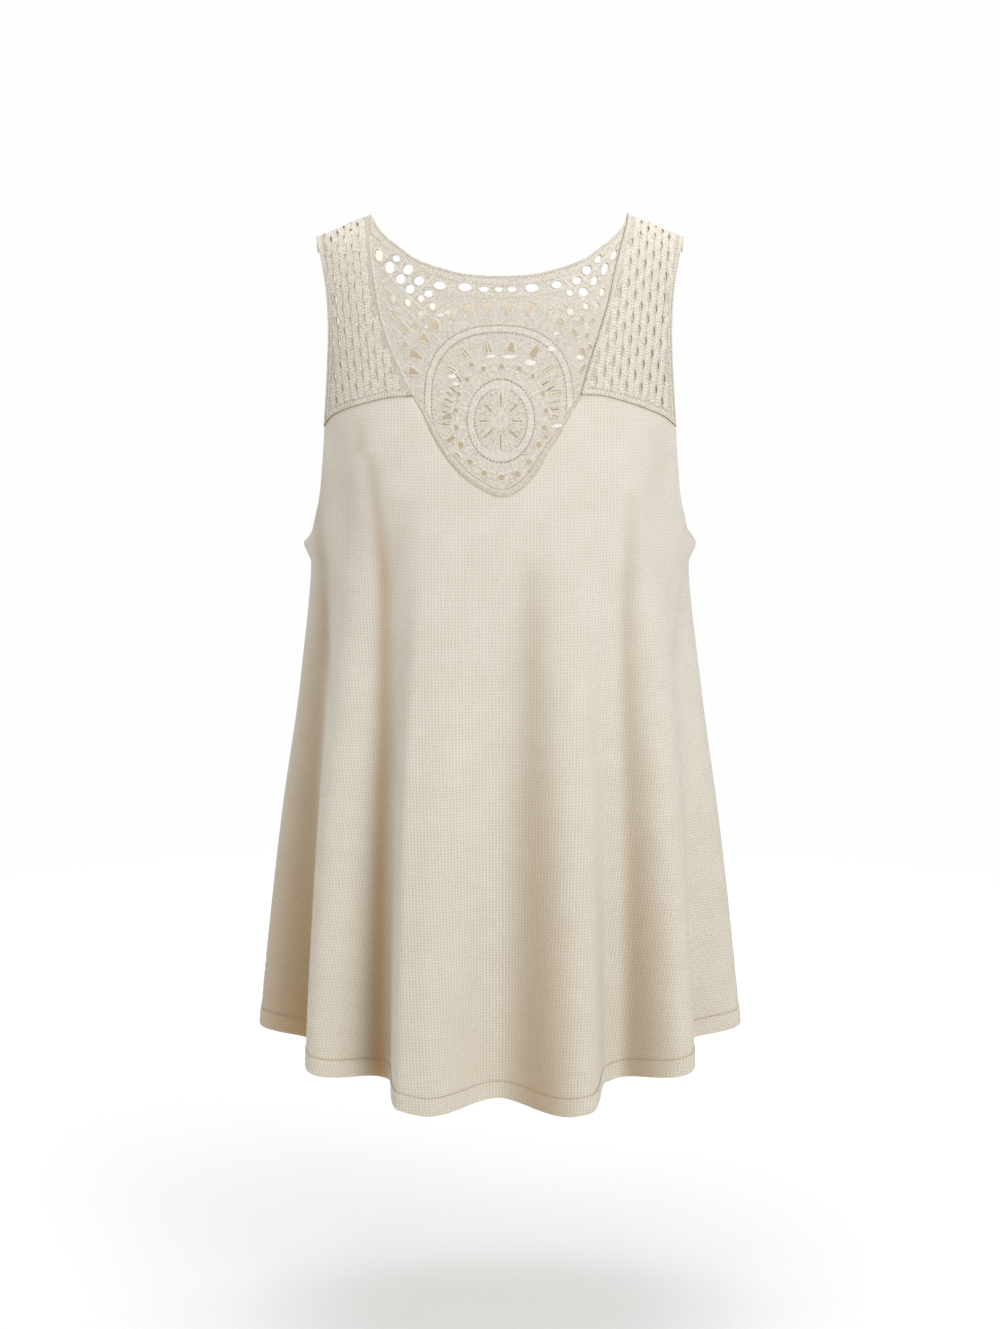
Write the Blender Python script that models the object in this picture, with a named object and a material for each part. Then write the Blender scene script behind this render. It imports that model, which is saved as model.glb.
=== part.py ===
"""A sleeveless swing top in knit cloth with a crochet yoke, worn and hollow, at its real size.

Metres, +Z up. The origin lies midway between the two high shoulder points, at their height, where a
wearer's shoulders hold the top. +X is to the right seen from the front, and the front faces -Y.

Every piece is a wall of cloth on one surface. A place on it has an angle round the body, 0 at the
centre front and positive towards +X, and a height. Below CHEST_LINE a height is plain z. Above it, a
height is measured along the cloth, up the chest and on over the shoulder, so a pattern keeps its size.
"""

import math
from typing import NamedTuple

import bmesh
import bpy
import numpy as np
from mathutils import Vector, geometry

WALL = 0.0016
SEAM_GAP = 0.0003
HEM_TURN = 0.0155  # depth of the turned-up hem
HEM_WALL = 0.0028  # wall of the turned-up hem, two layers of cloth

HEM_LOW = -0.741
UNDERARM = -0.279
CHEST_LINE = -0.15
YOKE_HALF_WIDTH = 0.163  # of the section that carries the yoke, above the underarm
BOXINESS = 0.25  # how far a section's corners stand out from an ellipse
CROWN = 0.12  # drop in which the cloth rounds over the shoulder
SHOULDER_SEAM = 0.020  # along the cloth, behind the ridge of the shoulder


class Section(NamedTuple):
    """One level section through the body of the top."""

    z: float
    half_width: float
    front_depth: float
    back_depth: float


SECTIONS = (
    Section(-0.750, 0.2070, 0.143, 0.136),
    Section(-0.700, 0.2040, 0.142, 0.134),
    Section(-0.600, 0.1955, 0.140, 0.128),
    Section(-0.500, 0.1850, 0.137, 0.120),
    Section(-0.400, 0.1715, 0.133, 0.112),
    Section(-0.300, 0.1625, 0.130, 0.106),
    Section(-0.250, YOKE_HALF_WIDTH, 0.126, 0.100),
    Section(-0.170, YOKE_HALF_WIDTH, 0.113, 0.092),
    Section(-0.100, YOKE_HALF_WIDTH, 0.095, 0.088),
    Section(-0.050, YOKE_HALF_WIDTH, 0.085, 0.084),
    Section(0.050, YOKE_HALF_WIDTH, 0.080, 0.080),
)


class Fold(NamedTuple):
    """One soft ridge or, with a negative height, one valley that deepens from its start to the hem."""

    angle_at_start: float
    angle_at_hem: float
    start: float
    height: float


FOLDS = (
    Fold(-169, -169, -0.30, 0.020),
    Fold(-156, -156, -0.26, -0.024),
    Fold(-142, -142, -0.28, 0.022),
    Fold(-127, -126, -0.26, -0.026),
    Fold(-112, -110, -0.28, 0.018),
    Fold(-97, -93, -0.30, -0.014),
    Fold(-81, -77, -0.28, 0.013),
    Fold(-67, -62, -0.24, -0.026),
    Fold(-53, -48, -0.24, 0.015),
    Fold(-36, -32, -0.19, -0.033),
    Fold(-20, -18, -0.22, 0.024),
    Fold(0, -1, -0.30, -0.016),
    Fold(20, 17, -0.26, 0.024),
    Fold(36, 32, -0.25, -0.031),
    Fold(53, 48, -0.28, 0.015),
    Fold(68, 62, -0.28, -0.025),
    Fold(82, 77, -0.30, 0.013),
    Fold(98, 94, -0.30, -0.014),
    Fold(113, 111, -0.28, 0.018),
    Fold(129, 128, -0.26, -0.025),
    Fold(144, 143, -0.28, 0.022),
    Fold(158, 157, -0.26, -0.023),
    Fold(170, 170, -0.30, 0.020),
    Fold(180, 180, -0.28, -0.016),
)
FOLD_GROWTH = 1.2  # above 1, a fold opens late
COLUMN_PARTS = (0.0, 0.2, 0.5, 0.8)  # places of the columns of points from one fold to the next


class HemPoint(NamedTuple):
    """Height of the hem's edge at an angle from the centre front, in degrees, alike on both sides."""

    angle: float
    z: float


HEM = (
    HemPoint(0, -0.7375),
    HemPoint(17, HEM_LOW),
    HemPoint(30, -0.7310),
    HemPoint(45, -0.7210),
    HemPoint(61, -0.7090),
    HemPoint(77, -0.7010),
    HemPoint(92, -0.7010),
    HemPoint(111, -0.7100),
    HemPoint(143, -0.7300),
    HemPoint(180, -0.7400),
)


class EdgePoint(NamedTuple):
    """A point of an edge as it is seen from the front: across, and up."""

    x: float
    z: float


NECKLINE = (
    EdgePoint(0.0, -0.0472),
    EdgePoint(0.0176, -0.0465),
    EdgePoint(0.0307, -0.0452),
    EdgePoint(0.0439, -0.0422),
    EdgePoint(0.0572, -0.0385),
    EdgePoint(0.0705, -0.0332),
    EdgePoint(0.0840, -0.0241),
    EdgePoint(0.0910, -0.0194),
    EdgePoint(0.0983, -0.0130),
    EdgePoint(0.1030, -0.0076),
    EdgePoint(0.1058, -0.0030),
)
V_EDGE_RIGHT = (
    EdgePoint(0.1074, 0.0),
    EdgePoint(0.1052, -0.0080),
    EdgePoint(0.1010, -0.0210),
    EdgePoint(0.0944, -0.0443),
    EdgePoint(0.0889, -0.0683),
    EdgePoint(0.0813, -0.0928),
    EdgePoint(0.0746, -0.1130),
    EdgePoint(0.0660, -0.1420),
)
V_EDGE_LEFT = (
    EdgePoint(-0.1090, 0.0),
    EdgePoint(-0.1069, -0.0288),
    EdgePoint(-0.1030, -0.0540),
    EdgePoint(-0.0981, -0.0785),
    EdgePoint(-0.0868, -0.1109),
    EdgePoint(-0.0703, -0.1432),
)
NOTCH = (
    EdgePoint(-0.0703, -0.1432),
    EdgePoint(-0.0620, -0.1560),
    EdgePoint(-0.0530, -0.1735),
    EdgePoint(-0.0408, -0.1918),
    EdgePoint(-0.0279, -0.2054),
    EdgePoint(-0.0153, -0.2140),
    EdgePoint(-0.0055, -0.2190),
    EdgePoint(0.0010, -0.2203),
    EdgePoint(0.0087, -0.2187),
    EdgePoint(0.0180, -0.2128),
    EdgePoint(0.0275, -0.2025),
    EdgePoint(0.0355, -0.1890),
    EdgePoint(0.0455, -0.1748),
    EdgePoint(0.0530, -0.1622),
    EdgePoint(0.0660, -0.1420),
)
YOKE_SEAM_RIGHT = (
    EdgePoint(0.0660, -0.1420),
    EdgePoint(0.0806, -0.1426),
    EdgePoint(0.1017, -0.1481),
    EdgePoint(0.1231, -0.1564),
    EdgePoint(0.1362, -0.1633),
    EdgePoint(0.1470, -0.1728),
)
YOKE_SEAM_LEFT = (
    EdgePoint(-0.0703, -0.1432),
    EdgePoint(-0.0911, -0.1449),
    EdgePoint(-0.1123, -0.1506),
    EdgePoint(-0.1297, -0.1572),
    EdgePoint(-0.1400, -0.1635),
    EdgePoint(-0.1470, -0.1728),
)
ARMHOLE_FRONT = (
    EdgePoint(0.1548, -0.0201),
    EdgePoint(0.1528, -0.0260),
    EdgePoint(0.1500, -0.0370),
    EdgePoint(0.1457, -0.0580),
    EdgePoint(0.1432, -0.0860),
    EdgePoint(0.1430, -0.1020),
    EdgePoint(0.1436, -0.1190),
    EdgePoint(0.1450, -0.1450),
    EdgePoint(0.1470, -0.1728),
    EdgePoint(0.1492, -0.2030),
    EdgePoint(0.1530, -0.2370),
    EdgePoint(0.1575, -0.2540),
    EdgePoint(0.1612, -0.2690),
    EdgePoint(0.1630, UNDERARM),
)
ARMHOLE_BACK = (
    EdgePoint(0.1548, -0.0205),
    EdgePoint(0.1500, -0.0450),
    EdgePoint(0.1450, -0.0800),
    EdgePoint(0.1430, -0.1200),
    EdgePoint(0.1440, -0.1600),
    EdgePoint(0.1480, -0.2050),
    EdgePoint(0.1545, -0.2420),
    EdgePoint(0.1605, -0.2670),
    EdgePoint(0.1630, UNDERARM),
)
NECKLINE_BACK = (
    EdgePoint(0.0, -0.0790),
    EdgePoint(0.0350, -0.0800),
    EdgePoint(0.0580, -0.0815),
    EdgePoint(0.0780, -0.0760),
    EdgePoint(0.0920, -0.0580),
    EdgePoint(0.1010, -0.0380),
    EdgePoint(0.1060, -0.0180),
)
SHOULDER_INNER = 0.107
SHOULDER_OUTER = 0.155
SHOULDER_DROP = 0.0200
NECK_RISE = 0.030  # of the shoulder line, carried on to the middle of the neck
SIDE_SEAM_AT_HEM = 78  # degrees, just forward of the widest place
UNDERARM_POINT = 0.0065  # how far the seam's end stands out at the underarm
UNDERARM_POINT_WIDTH = 0.20  # radians
UNDERARM_POINT_DROP = 0.017


def smooth(place, places, values):
    """The value at each place of a smooth curve through the given places and values."""
    order = np.argsort(places)
    places = np.asarray(places, float)[order]
    values = np.asarray(values, float)[order]
    slopes = np.gradient(values, places)
    low = np.clip(np.searchsorted(places, place) - 1, 0, len(places) - 2)
    step = places[low + 1] - places[low]
    part = np.clip((place - places[low]) / step, 0, 1)
    rest = 1 - part
    start = rest**2 * ((1 + 2 * part) * values[low] + part * step * slopes[low])
    end = part**2 * ((3 - 2 * part) * values[low + 1] - rest * step * slopes[low + 1])
    return start + end


def column(rows, name):
    """One named column of a table, as a list."""
    return [getattr(row, name) for row in rows]


def shoulder_line(x):
    """Height of the shoulder's ridge this far from the middle."""
    across = np.abs(x)
    slope = SHOULDER_DROP / (SHOULDER_OUTER - SHOULDER_INNER)
    outside = -slope * (across - SHOULDER_INNER)
    inside = NECK_RISE * (1 - (across / SHOULDER_INNER) ** 2)
    return np.where(across > SHOULDER_INNER, outside, inside)


def crown(drop):
    """Share of a section's depth at this drop below the shoulder line: 0 on the ridge, 1 below it."""
    return np.sqrt(1 - (1 - np.clip(drop / CROWN, 0, 1)) ** 2)


def plain_section(angle, z):
    """The unfolded cloth at this angle and height: across, and from front to back."""
    heights = column(SECTIONS, "z")
    half_width = smooth(z, heights, column(SECTIONS, "half_width"))
    front = smooth(z, heights, column(SECTIONS, "front_depth"))
    back = smooth(z, heights, column(SECTIONS, "back_depth"))
    depth = np.where(np.cos(angle) > 0, front, back)
    x = half_width * np.sin(angle)
    y = -depth * np.cos(angle) * (1 + BOXINESS * np.sin(angle) ** 2)
    return x, y * crown(shoulder_line(x) - z)


def hem_height(angle):
    """Height of the hem's edge at this angle."""
    from_front = np.degrees(np.arccos(np.cos(angle)))
    return smooth(from_front, column(HEM, "angle"), column(HEM, "z"))


def fold_angles(z):
    """The angle of each fold of the table at these heights, one row a fold, in radians."""
    rows = []
    for fold in FOLDS:
        down = np.clip((fold.start - z) / (fold.start - HEM_LOW), 0, 1)
        angle = fold.angle_at_start + (fold.angle_at_hem - fold.angle_at_start) * down
        rows.append(np.radians(angle))
    return np.array(rows)


def fold_heights(z):
    """How far each fold of the table stands out at these heights, one row a fold."""
    rows = []
    for fold in FOLDS:
        down = np.clip((fold.start - z) / (fold.start - HEM_LOW), 0, 1)
        rows.append(fold.height * down**FOLD_GROWTH)
    return np.array(rows)


def fold_wave(angle, z):
    """How far the folds push the cloth out at this angle and height."""
    angles = fold_angles(z)
    heights = fold_heights(z)
    turn = 2 * math.pi
    pushed = np.zeros_like(angle)
    for here in range(len(FOLDS)):
        following = (here + 1) % len(FOLDS)
        width = np.mod(angles[following] - angles[here], turn)
        part = np.mod(angle - angles[here], turn) / width
        blend = (1 - np.cos(math.pi * np.clip(part, 0, 1))) / 2
        value = heights[here] + (heights[following] - heights[here]) * blend
        pushed = np.where(part < 1, value, pushed)
    return pushed


def underarm_push(angle, z):
    """How far the end of the side seam stands out under the arm."""
    off_side = (math.pi / 2 - np.abs(angle)) / UNDERARM_POINT_WIDTH
    down = np.clip(1 - np.abs(z - UNDERARM) / UNDERARM_POINT_DROP, 0, 1)
    return UNDERARM_POINT * np.exp(-(off_side**2)) * down**2 * (3 - 2 * down)


def body_point(angle, z):
    """The folded cloth at these angles and heights, as rows of x, y, z."""
    x, y = plain_section(angle, z)
    step = 1e-4
    ahead_x, ahead_y = plain_section(angle + step, z)
    along = np.stack([ahead_x - x, ahead_y - y], -1)
    along /= np.linalg.norm(along, axis=-1, keepdims=True)
    push = fold_wave(angle, z) + underarm_push(angle, z)
    return np.stack([x + along[:, 1] * push, y - along[:, 0] * push, z], -1)


def arch(angle):
    """From the shoulder's ridge down to CHEST_LINE at each angle: heights, depths and lengths along."""
    x = YOKE_HALF_WIDTH * np.sin(angle)
    ridge = shoulder_line(x)
    share = 1 - np.cos(np.linspace(0, math.pi / 2, 65))
    z = ridge[:, None] + (CHEST_LINE - ridge[:, None]) * share
    y = plain_section(np.broadcast_to(angle[:, None], z.shape), z)[1]
    steps = np.hypot(np.diff(z, axis=1), np.diff(y, axis=1))
    along = np.concatenate([np.zeros((len(angle), 1)), np.cumsum(steps, axis=1)], axis=1)
    return z, y, along


def on_arch(angle, distance):
    """The points this far from the ridge, measured along the cloth."""
    z, y, along = arch(angle)
    row = np.arange(len(angle))
    low = np.clip((along < distance[:, None]).sum(axis=1) - 1, 0, along.shape[1] - 2)
    step = along[row, low + 1] - along[row, low]
    part = (distance - along[row, low]) / step
    across = YOKE_HALF_WIDTH * np.sin(angle)
    depth = y[row, low] + (y[row, low + 1] - y[row, low]) * part
    height = z[row, low] + (z[row, low + 1] - z[row, low]) * part
    return np.stack([across, depth, height], -1)


def ridge_height(angle):
    """Height along the cloth of the shoulder's ridge, above each angle."""
    return CHEST_LINE + arch(angle)[2][:, -1]


def cloth(angle, height):
    """The outer face of the cloth at these angles and heights along the cloth, as rows of x, y, z."""
    angle = np.asarray(angle, float)
    height = np.asarray(height, float)
    points = body_point(angle, np.minimum(height, CHEST_LINE))
    high = height > CHEST_LINE
    if high.any():
        from_ridge = ridge_height(angle[high]) - height[high]
        near = on_arch(angle[high], np.maximum(from_ridge, 0))
        far = on_arch(math.pi - angle[high], np.maximum(-from_ridge, 0))
        points[high] = np.where(from_ridge[:, None] > 0, near, far)
    return points


def cloth_and_normal(angle, height):
    """The outer face of the cloth and its outward normals."""
    step = 2e-4
    across = cloth(angle + step, height) - cloth(angle - step, height)
    up = cloth(angle, height + step / 4) - cloth(angle, height - step / 4)
    normal = np.cross(across, up)
    normal /= np.linalg.norm(normal, axis=1, keepdims=True)
    return cloth(angle, height), normal


def yoke_angle(x):
    """The angle of a place this far across the yoke."""
    return np.arcsin(np.asarray(x, float) / YOKE_HALF_WIDTH)


def height_along(x, z, back=False):
    """Height along the cloth of the places of the yoke seen at x and z."""
    x = np.atleast_1d(np.asarray(x, float))
    z = np.atleast_1d(np.asarray(z, float))
    angle = yoke_angle(x)
    heights, _, along = arch(math.pi - angle if back else angle)
    result = z.copy()
    for row in np.flatnonzero(z > CHEST_LINE):
        distance = np.interp(-z[row], -heights[row], along[row])
        result[row] = CHEST_LINE + along[row, -1] - distance
    return result


def pattern_edge(points, spacing, back=False):
    """An edge seen from the front, as rows of x and height along the cloth, at an even spacing."""
    x = np.array(column(points, "x"))
    height = height_along(x, np.array(column(points, "z")), back)
    length = np.concatenate([[0], np.cumsum(np.hypot(np.diff(x), np.diff(height)))])
    count = max(2, round(length[-1] / spacing) + 1)
    places = np.linspace(0, length[-1], count)
    return np.stack([smooth(places, length, x), smooth(places, length, height)], -1)


def mirrored(points):
    """The same edge on the other side of the body."""
    return tuple(EdgePoint(-point.x, point.z) for point in points)


def inside(points, loop):
    """Which of the points lie within a closed loop."""
    hits = np.zeros(len(points), bool)
    for start, end in zip(loop, np.roll(loop, -1, axis=0), strict=True):
        if start[1] == end[1]:
            continue
        crosses = (start[1] > points[:, 1]) != (end[1] > points[:, 1])
        at = start[0] + (points[:, 1] - start[1]) / (end[1] - start[1]) * (end[0] - start[0])
        hits ^= crosses & (points[:, 0] < at)
    return hits


def clearance(points, line, closed=True):
    """Distance from each point to the nearest part of a line."""
    ends = np.roll(line, -1, axis=0) if closed else line[1:]
    starts = line if closed else line[:-1]
    nearest = np.full(len(points), np.inf)
    for start, end in zip(starts, ends, strict=True):
        run = end - start
        part = np.clip((points - start) @ run / max(run @ run, 1e-12), 0, 1)
        gap = np.linalg.norm(points - start - part[:, None] * run, axis=1)
        nearest = np.minimum(nearest, gap)
    return nearest


def inset_line(line, distance):
    """An open line moved to its left by this distance."""
    along = np.gradient(line, axis=0)
    along /= np.linalg.norm(along, axis=1, keepdims=True)
    return line + distance * np.stack([-along[:, 1], along[:, 0]], -1)


def triangulate(outline, holes, guides, free_points):
    """Points and triangles of a flat pattern piece with its holes left out, in the pattern's plane."""
    loops = [outline, *holes, *guides]
    points = np.concatenate([*loops, free_points])
    edges = []
    first = 0
    for loop in loops:
        count = len(loop)
        edges += [(first + i, first + (i + 1) % count) for i in range(count)]
        first += count
    result = geometry.delaunay_2d_cdt([Vector(p) for p in points], edges, [], 0, 1e-7, False)
    flat = np.array([tuple(p) for p in result[0]])
    faces = np.array(result[2])
    middles = flat[faces].mean(axis=1)
    keep = inside(middles, outline)
    for hole in holes:
        keep &= ~inside(middles, hole)
    faces = faces[keep]
    used = np.unique(faces)
    return flat[used], np.searchsorted(used, faces)


def rim_edges(faces):
    """The edges that belong to one triangle only, in that triangle's order."""
    edges = np.concatenate([faces[:, [0, 1]], faces[:, [1, 2]], faces[:, [2, 0]]])
    known = {tuple(edge) for edge in edges.tolist()}
    return [edge for edge in edges.tolist() if (edge[1], edge[0]) not in known]


def wall_mesh(name, outer, inner, faces):
    """A closed wall between its outer and inner points, whose triangles run the same way."""
    count = len(outer)
    walls = [(b, a, a + count, b + count) for a, b in rim_edges(faces)]
    backs = [(a + count, c + count, b + count) for a, b, c in faces.tolist()]
    mesh = bpy.data.meshes.new(name)
    points = np.concatenate([outer, inner]).tolist()
    mesh.from_pydata(points, [], [tuple(f) for f in faces.tolist()] + backs + walls)
    shape = bmesh.new()
    shape.from_mesh(mesh)
    bmesh.ops.recalc_face_normals(shape, faces=shape.faces)
    bmesh.ops.triangulate(shape, faces=shape.faces)
    shape.to_mesh(mesh)
    shape.free()
    mesh.shade_smooth()
    mesh.set_sharp_from_angle(angle=math.radians(50))
    return mesh


def principled(name, colour, roughness):
    """A cloth material of one colour."""
    material = bpy.data.materials.new(name)
    material.use_nodes = True
    shader = material.node_tree.nodes["Principled BSDF"]
    shader.inputs["Base Color"].default_value = (*colour, 1)
    shader.inputs["Roughness"].default_value = roughness
    shader.inputs["Metallic"].default_value = 0
    return material


KNIT_COLOUR = (0.72, 0.68, 0.60)
CROCHET_COLOUR = (0.68, 0.62, 0.53)
ROLL_COLOUR = (0.64, 0.59, 0.50)
CLOTH_ROUGHNESS = 0.9


def add_object(name, mesh, colour, collection):
    """An object of the top, in its collection and with its own material."""
    piece = bpy.data.objects.new(name, mesh)
    piece.data.materials.append(principled(f"{name}_cloth", colour, CLOTH_ROUGHNESS))
    collection.objects.link(piece)
    return piece


BODY_SCALE = 0.17  # metres of pattern for a radian, so that a body pattern has true proportions
EDGE_SPACING = 0.011
CLEAR_OF_EDGE = 0.005
SIDE_SEAM_POINTS = 14
SHOULDER_POINTS = 6
BODY_ROWS = 11
BODY_ROW_GROWTH = 1.15  # above 1, the rows of points lie closer near the hem
CHEST_ROWS = (-0.305, -0.272, -0.240, -0.208, -0.176)
UPPER_BACK_ROWS = (-0.150, -0.128, -0.106, -0.084, -0.062, -0.040, -0.018)
UPPER_BACK_COLUMNS = range(100, 261, 8)  # degrees


def side_seam(gap):
    """The right side seam from the hem up to the underarm, as rows of angle and height."""
    part = np.linspace(0, 1, SIDE_SEAM_POINTS)
    hem_angle = math.radians(SIDE_SEAM_AT_HEM)
    low = hem_height(np.array([hem_angle]))[0]
    height = low + (UNDERARM - low) * part
    angle = hem_angle + (math.pi / 2 - hem_angle) * part
    return np.stack([angle + gap / YOKE_HALF_WIDTH, height], -1)


def column_angles(z, first, last):
    """Angles of the columns of points between two angles at one height, running with the folds."""
    angles = np.sort(np.mod(fold_angles(z) + math.pi, 2 * math.pi) - math.pi)
    angles = np.concatenate([angles, angles + 2 * math.pi])
    steps = (np.arange(len(angles) - 1)[:, None] + np.array(COLUMN_PARTS)).ravel()
    places = np.interp(steps, np.arange(len(angles)), angles)
    return places[(places > first) & (places < last)]


def hem_line(first, last):
    """The hem's edge between two angles, as rows of angle and height."""
    angles = np.concatenate([[first], column_angles(HEM_LOW, first, last), [last]])
    return np.stack([angles, hem_height(angles)], -1)


def body_free_points(first, last):
    """Points within a body panel: rows from the hem up, in columns that run with the folds."""
    rows = []
    parts = np.linspace(0, 1, BODY_ROWS) ** BODY_ROW_GROWTH
    for part in parts:
        middle = HEM_LOW + HEM_TURN + (CHEST_ROWS[0] - HEM_LOW - HEM_TURN) * part
        angles = column_angles(middle, first, last)
        low = hem_height(angles) + HEM_TURN + SEAM_GAP
        rows.append(np.stack([angles, low + (CHEST_ROWS[0] - low) * part], -1))
    folded = column_angles(HEM_LOW, first, last)
    rows.append(np.stack([folded, hem_height(folded) + HEM_TURN - SEAM_GAP], -1))
    for z in CHEST_ROWS[1:]:
        angles = column_angles(z, first, last)[::2]
        rows.append(np.stack([angles, np.full(len(angles), z)], -1))
    return np.concatenate(rows)


def body_wall(angles, heights):
    """Thickness of a body panel's wall: more in the turned-up hem."""
    turned = heights < hem_height(angles) + HEM_TURN
    return np.where(turned, HEM_WALL, WALL)


def body_panel(name, outline, free_points):
    """A body panel from its outline in angle and height, with its hem turned up."""
    scale = np.array([BODY_SCALE, 1.0])
    edge = outline * scale
    clear = free_points * scale
    clear = clear[inside(clear, edge)]
    clear = clear[clearance(clear, edge) > CLEAR_OF_EDGE]
    flat, faces = triangulate(edge, [], [], clear)
    angles = flat[:, 0] / BODY_SCALE
    heights = flat[:, 1]
    outer, normals = cloth_and_normal(angles, heights)
    inner = outer - normals * body_wall(angles, heights)[:, None]
    return wall_mesh(name, outer, inner, faces)


def to_angles(edge):
    """Rows of x and height turned to rows of angle and height, on the front."""
    return np.stack([yoke_angle(edge[:, 0]), edge[:, 1]], -1)


def behind(edge):
    """Rows of x and height turned to rows of angle and height, on the back."""
    return np.stack([math.pi - yoke_angle(edge[:, 0]), edge[:, 1]], -1)


def lowered(edge, distance):
    """An edge moved down by this distance."""
    return edge - np.array([0, distance])


def chain(*edges):
    """Edges laid end to end as one closed outline, with doubled points dropped."""
    points = np.concatenate(edges)
    ahead = np.roll(points, -1, axis=0)
    apart = np.linalg.norm((points - ahead) * np.array([BODY_SCALE, 1.0]), axis=1)
    return points[apart > SEAM_GAP / 2]


ROLL_RADII = (0.0010, 0.0022, 0.0026, 0.0026, 0.0024, 0.0016, 0.0009)  # from the left seam to the right
ROLL_SINK = 0.0006  # how far the roll's middle lies under the cloth's outer face


def notch_line():
    """The whole V of the notch from the left seam round its tip to the right, in x and height."""
    return pattern_edge(NOTCH, EDGE_SPACING / 2)


def roll_radius(count):
    """Radius of the rolled edge at each of the notch's points."""
    places = np.linspace(0, len(ROLL_RADII) - 1, count)
    return smooth(places, range(len(ROLL_RADII)), ROLL_RADII)


def beside_roll(direction):
    """The notch's line clear of the rolled edge, below it at -1 or above it at 1."""
    line = notch_line()
    return inset_line(line, direction * (roll_radius(len(line))[:, None] + 2 * SEAM_GAP))


def front_outline():
    """Outline of the front body: hem, side seams, armholes, yoke seams and the notch."""
    half_gap = SEAM_GAP / 2
    hem_angle = math.radians(SIDE_SEAM_AT_HEM)
    seam = side_seam(-half_gap)
    low_armhole = [point for point in ARMHOLE_FRONT if point.z <= YOKE_SEAM_RIGHT[-1].z]
    armhole = to_angles(pattern_edge(low_armhole, EDGE_SPACING))[::-1]
    seam_right = lowered(pattern_edge(YOKE_SEAM_RIGHT, EDGE_SPACING), half_gap)[::-1]
    seam_left = lowered(pattern_edge(YOKE_SEAM_LEFT, EDGE_SPACING), half_gap)
    notch = beside_roll(-1)[::-1]
    mirror = np.array([-1, 1])
    return chain(
        hem_line(-hem_angle, hem_angle)[1:-1],
        seam,
        armhole[1:-1],
        to_angles(seam_right),
        to_angles(notch),
        to_angles(seam_left),
        (armhole[1:-1] * mirror)[::-1],
        (seam * mirror)[::-1],
    )


def add_front_body(collection):
    """The front of the body, from the yoke to the hem, in one piece."""
    limit = math.pi / 2
    mesh = body_panel("front_body", front_outline(), body_free_points(-limit, limit))
    return add_object("front_body", mesh, KNIT_COLOUR, collection)


def back_outline():
    """Outline of the back body, from the hem up to the shoulder seams and the back neckline."""
    half_gap = SEAM_GAP / 2
    hem_angle = math.radians(SIDE_SEAM_AT_HEM)
    seam = side_seam(half_gap)
    armhole = behind(pattern_edge(ARMHOLE_BACK, EDGE_SPACING, back=True))[::-1]
    neck = behind(pattern_edge(NECKLINE_BACK, EDGE_SPACING, back=True))
    shoulder_x = np.linspace(SHOULDER_OUTER, SHOULDER_INNER, SHOULDER_POINTS)
    top = ridge_height(math.pi - yoke_angle(shoulder_x)) - SHOULDER_SEAM - half_gap
    shoulder = behind(np.stack([shoulder_x, top], -1))
    armhole = armhole[armhole[:, 1] < shoulder[0, 1] - SEAM_GAP]
    neck = neck[neck[:, 1] < shoulder[-1, 1] - SEAM_GAP]
    mirror = np.array([-1, 1])
    turn = np.array([2 * math.pi, 0])
    half = [hem_line(hem_angle, math.pi)[1:-1][::-1], seam, armhole[1:], shoulder, neck[::-1]]
    near = np.concatenate(half)
    far = (near * mirror + turn)[::-1]
    return chain(near, far)


def add_back_body(collection):
    """The back of the body, in one piece from the shoulders to the hem."""
    points = body_free_points(math.radians(SIDE_SEAM_AT_HEM), math.radians(360 - SIDE_SEAM_AT_HEM))
    grid = np.meshgrid(np.radians(UPPER_BACK_COLUMNS), UPPER_BACK_ROWS)
    upper = np.stack(grid, -1).reshape(-1, 2)
    mesh = body_panel("back_body", back_outline(), np.concatenate([points, upper]))
    return add_object("back_body", mesh, KNIT_COLOUR, collection)


EYELET_WIDTH = 0.0036
EYELET_LENGTH = 0.0086
EYELET_MARGIN = 0.0028  # of solid crochet between an eyelet and the panel's edge
EYELET_MIDDLE_MARGIN = 0.0066  # the same, from the eyelet's middle
EYELET_CORNERS = ((0, 0.5), (-0.5, 0.17), (-0.5, -0.17), (0, -0.5), (0.5, -0.17), (0.5, 0.17))
EYELET_ROWS = range(-12, 14)  # before they are trimmed to the panel
EYELET_PLACES = range(-8, 9)


class Lattice(NamedTuple):
    """How a panel's eyelets are set out from one of them, drawn as on the right-hand panel."""

    x: float
    height: float
    pitch: float  # from one eyelet of a row to the next
    row: float  # from one row to the next, which stands half a pitch across
    column_lean: float  # outward run of a column, for a unit of height
    row_drop: float  # drop of a row, for a unit outwards
    eyelet_lean: float  # outward run of each eyelet, for a unit of height


LATTICE_RIGHT = Lattice(0.1185, -0.0509, 0.0125, 0.0095, 0.10, 0.20, -0.06)
LATTICE_LEFT = Lattice(0.0889, -0.0579, 0.0119, 0.0092, 0.09, 0.165, 0.17)


def eyelet(x, height, lean):
    """A slim six-sided eyelet at a place of the yoke's pattern."""
    corners = np.array(EYELET_CORNERS) * np.array([EYELET_WIDTH, EYELET_LENGTH])
    corners[:, 0] += corners[:, 1] * lean
    return corners + np.array([x, height])


def eyelets(outline, lattice):
    """All the eyelets of a shoulder panel, in staggered rows, wherever one fits whole."""
    holes = []
    for row in EYELET_ROWS:
        for place in EYELET_PLACES:
            across = (place + row % 2 / 2) * lattice.pitch
            up = row * lattice.row
            x = lattice.x + across + lattice.column_lean * up
            height = lattice.height + up - lattice.row_drop * across
            hole = eyelet(x, height, lattice.eyelet_lean)
            room = inside(hole, outline).all() and clearance(hole, outline).min() > EYELET_MARGIN
            middle = np.array([[x, height]])
            if room and clearance(middle, outline)[0] > EYELET_MIDDLE_MARGIN:
                holes.append(hole)
    return holes


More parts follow.
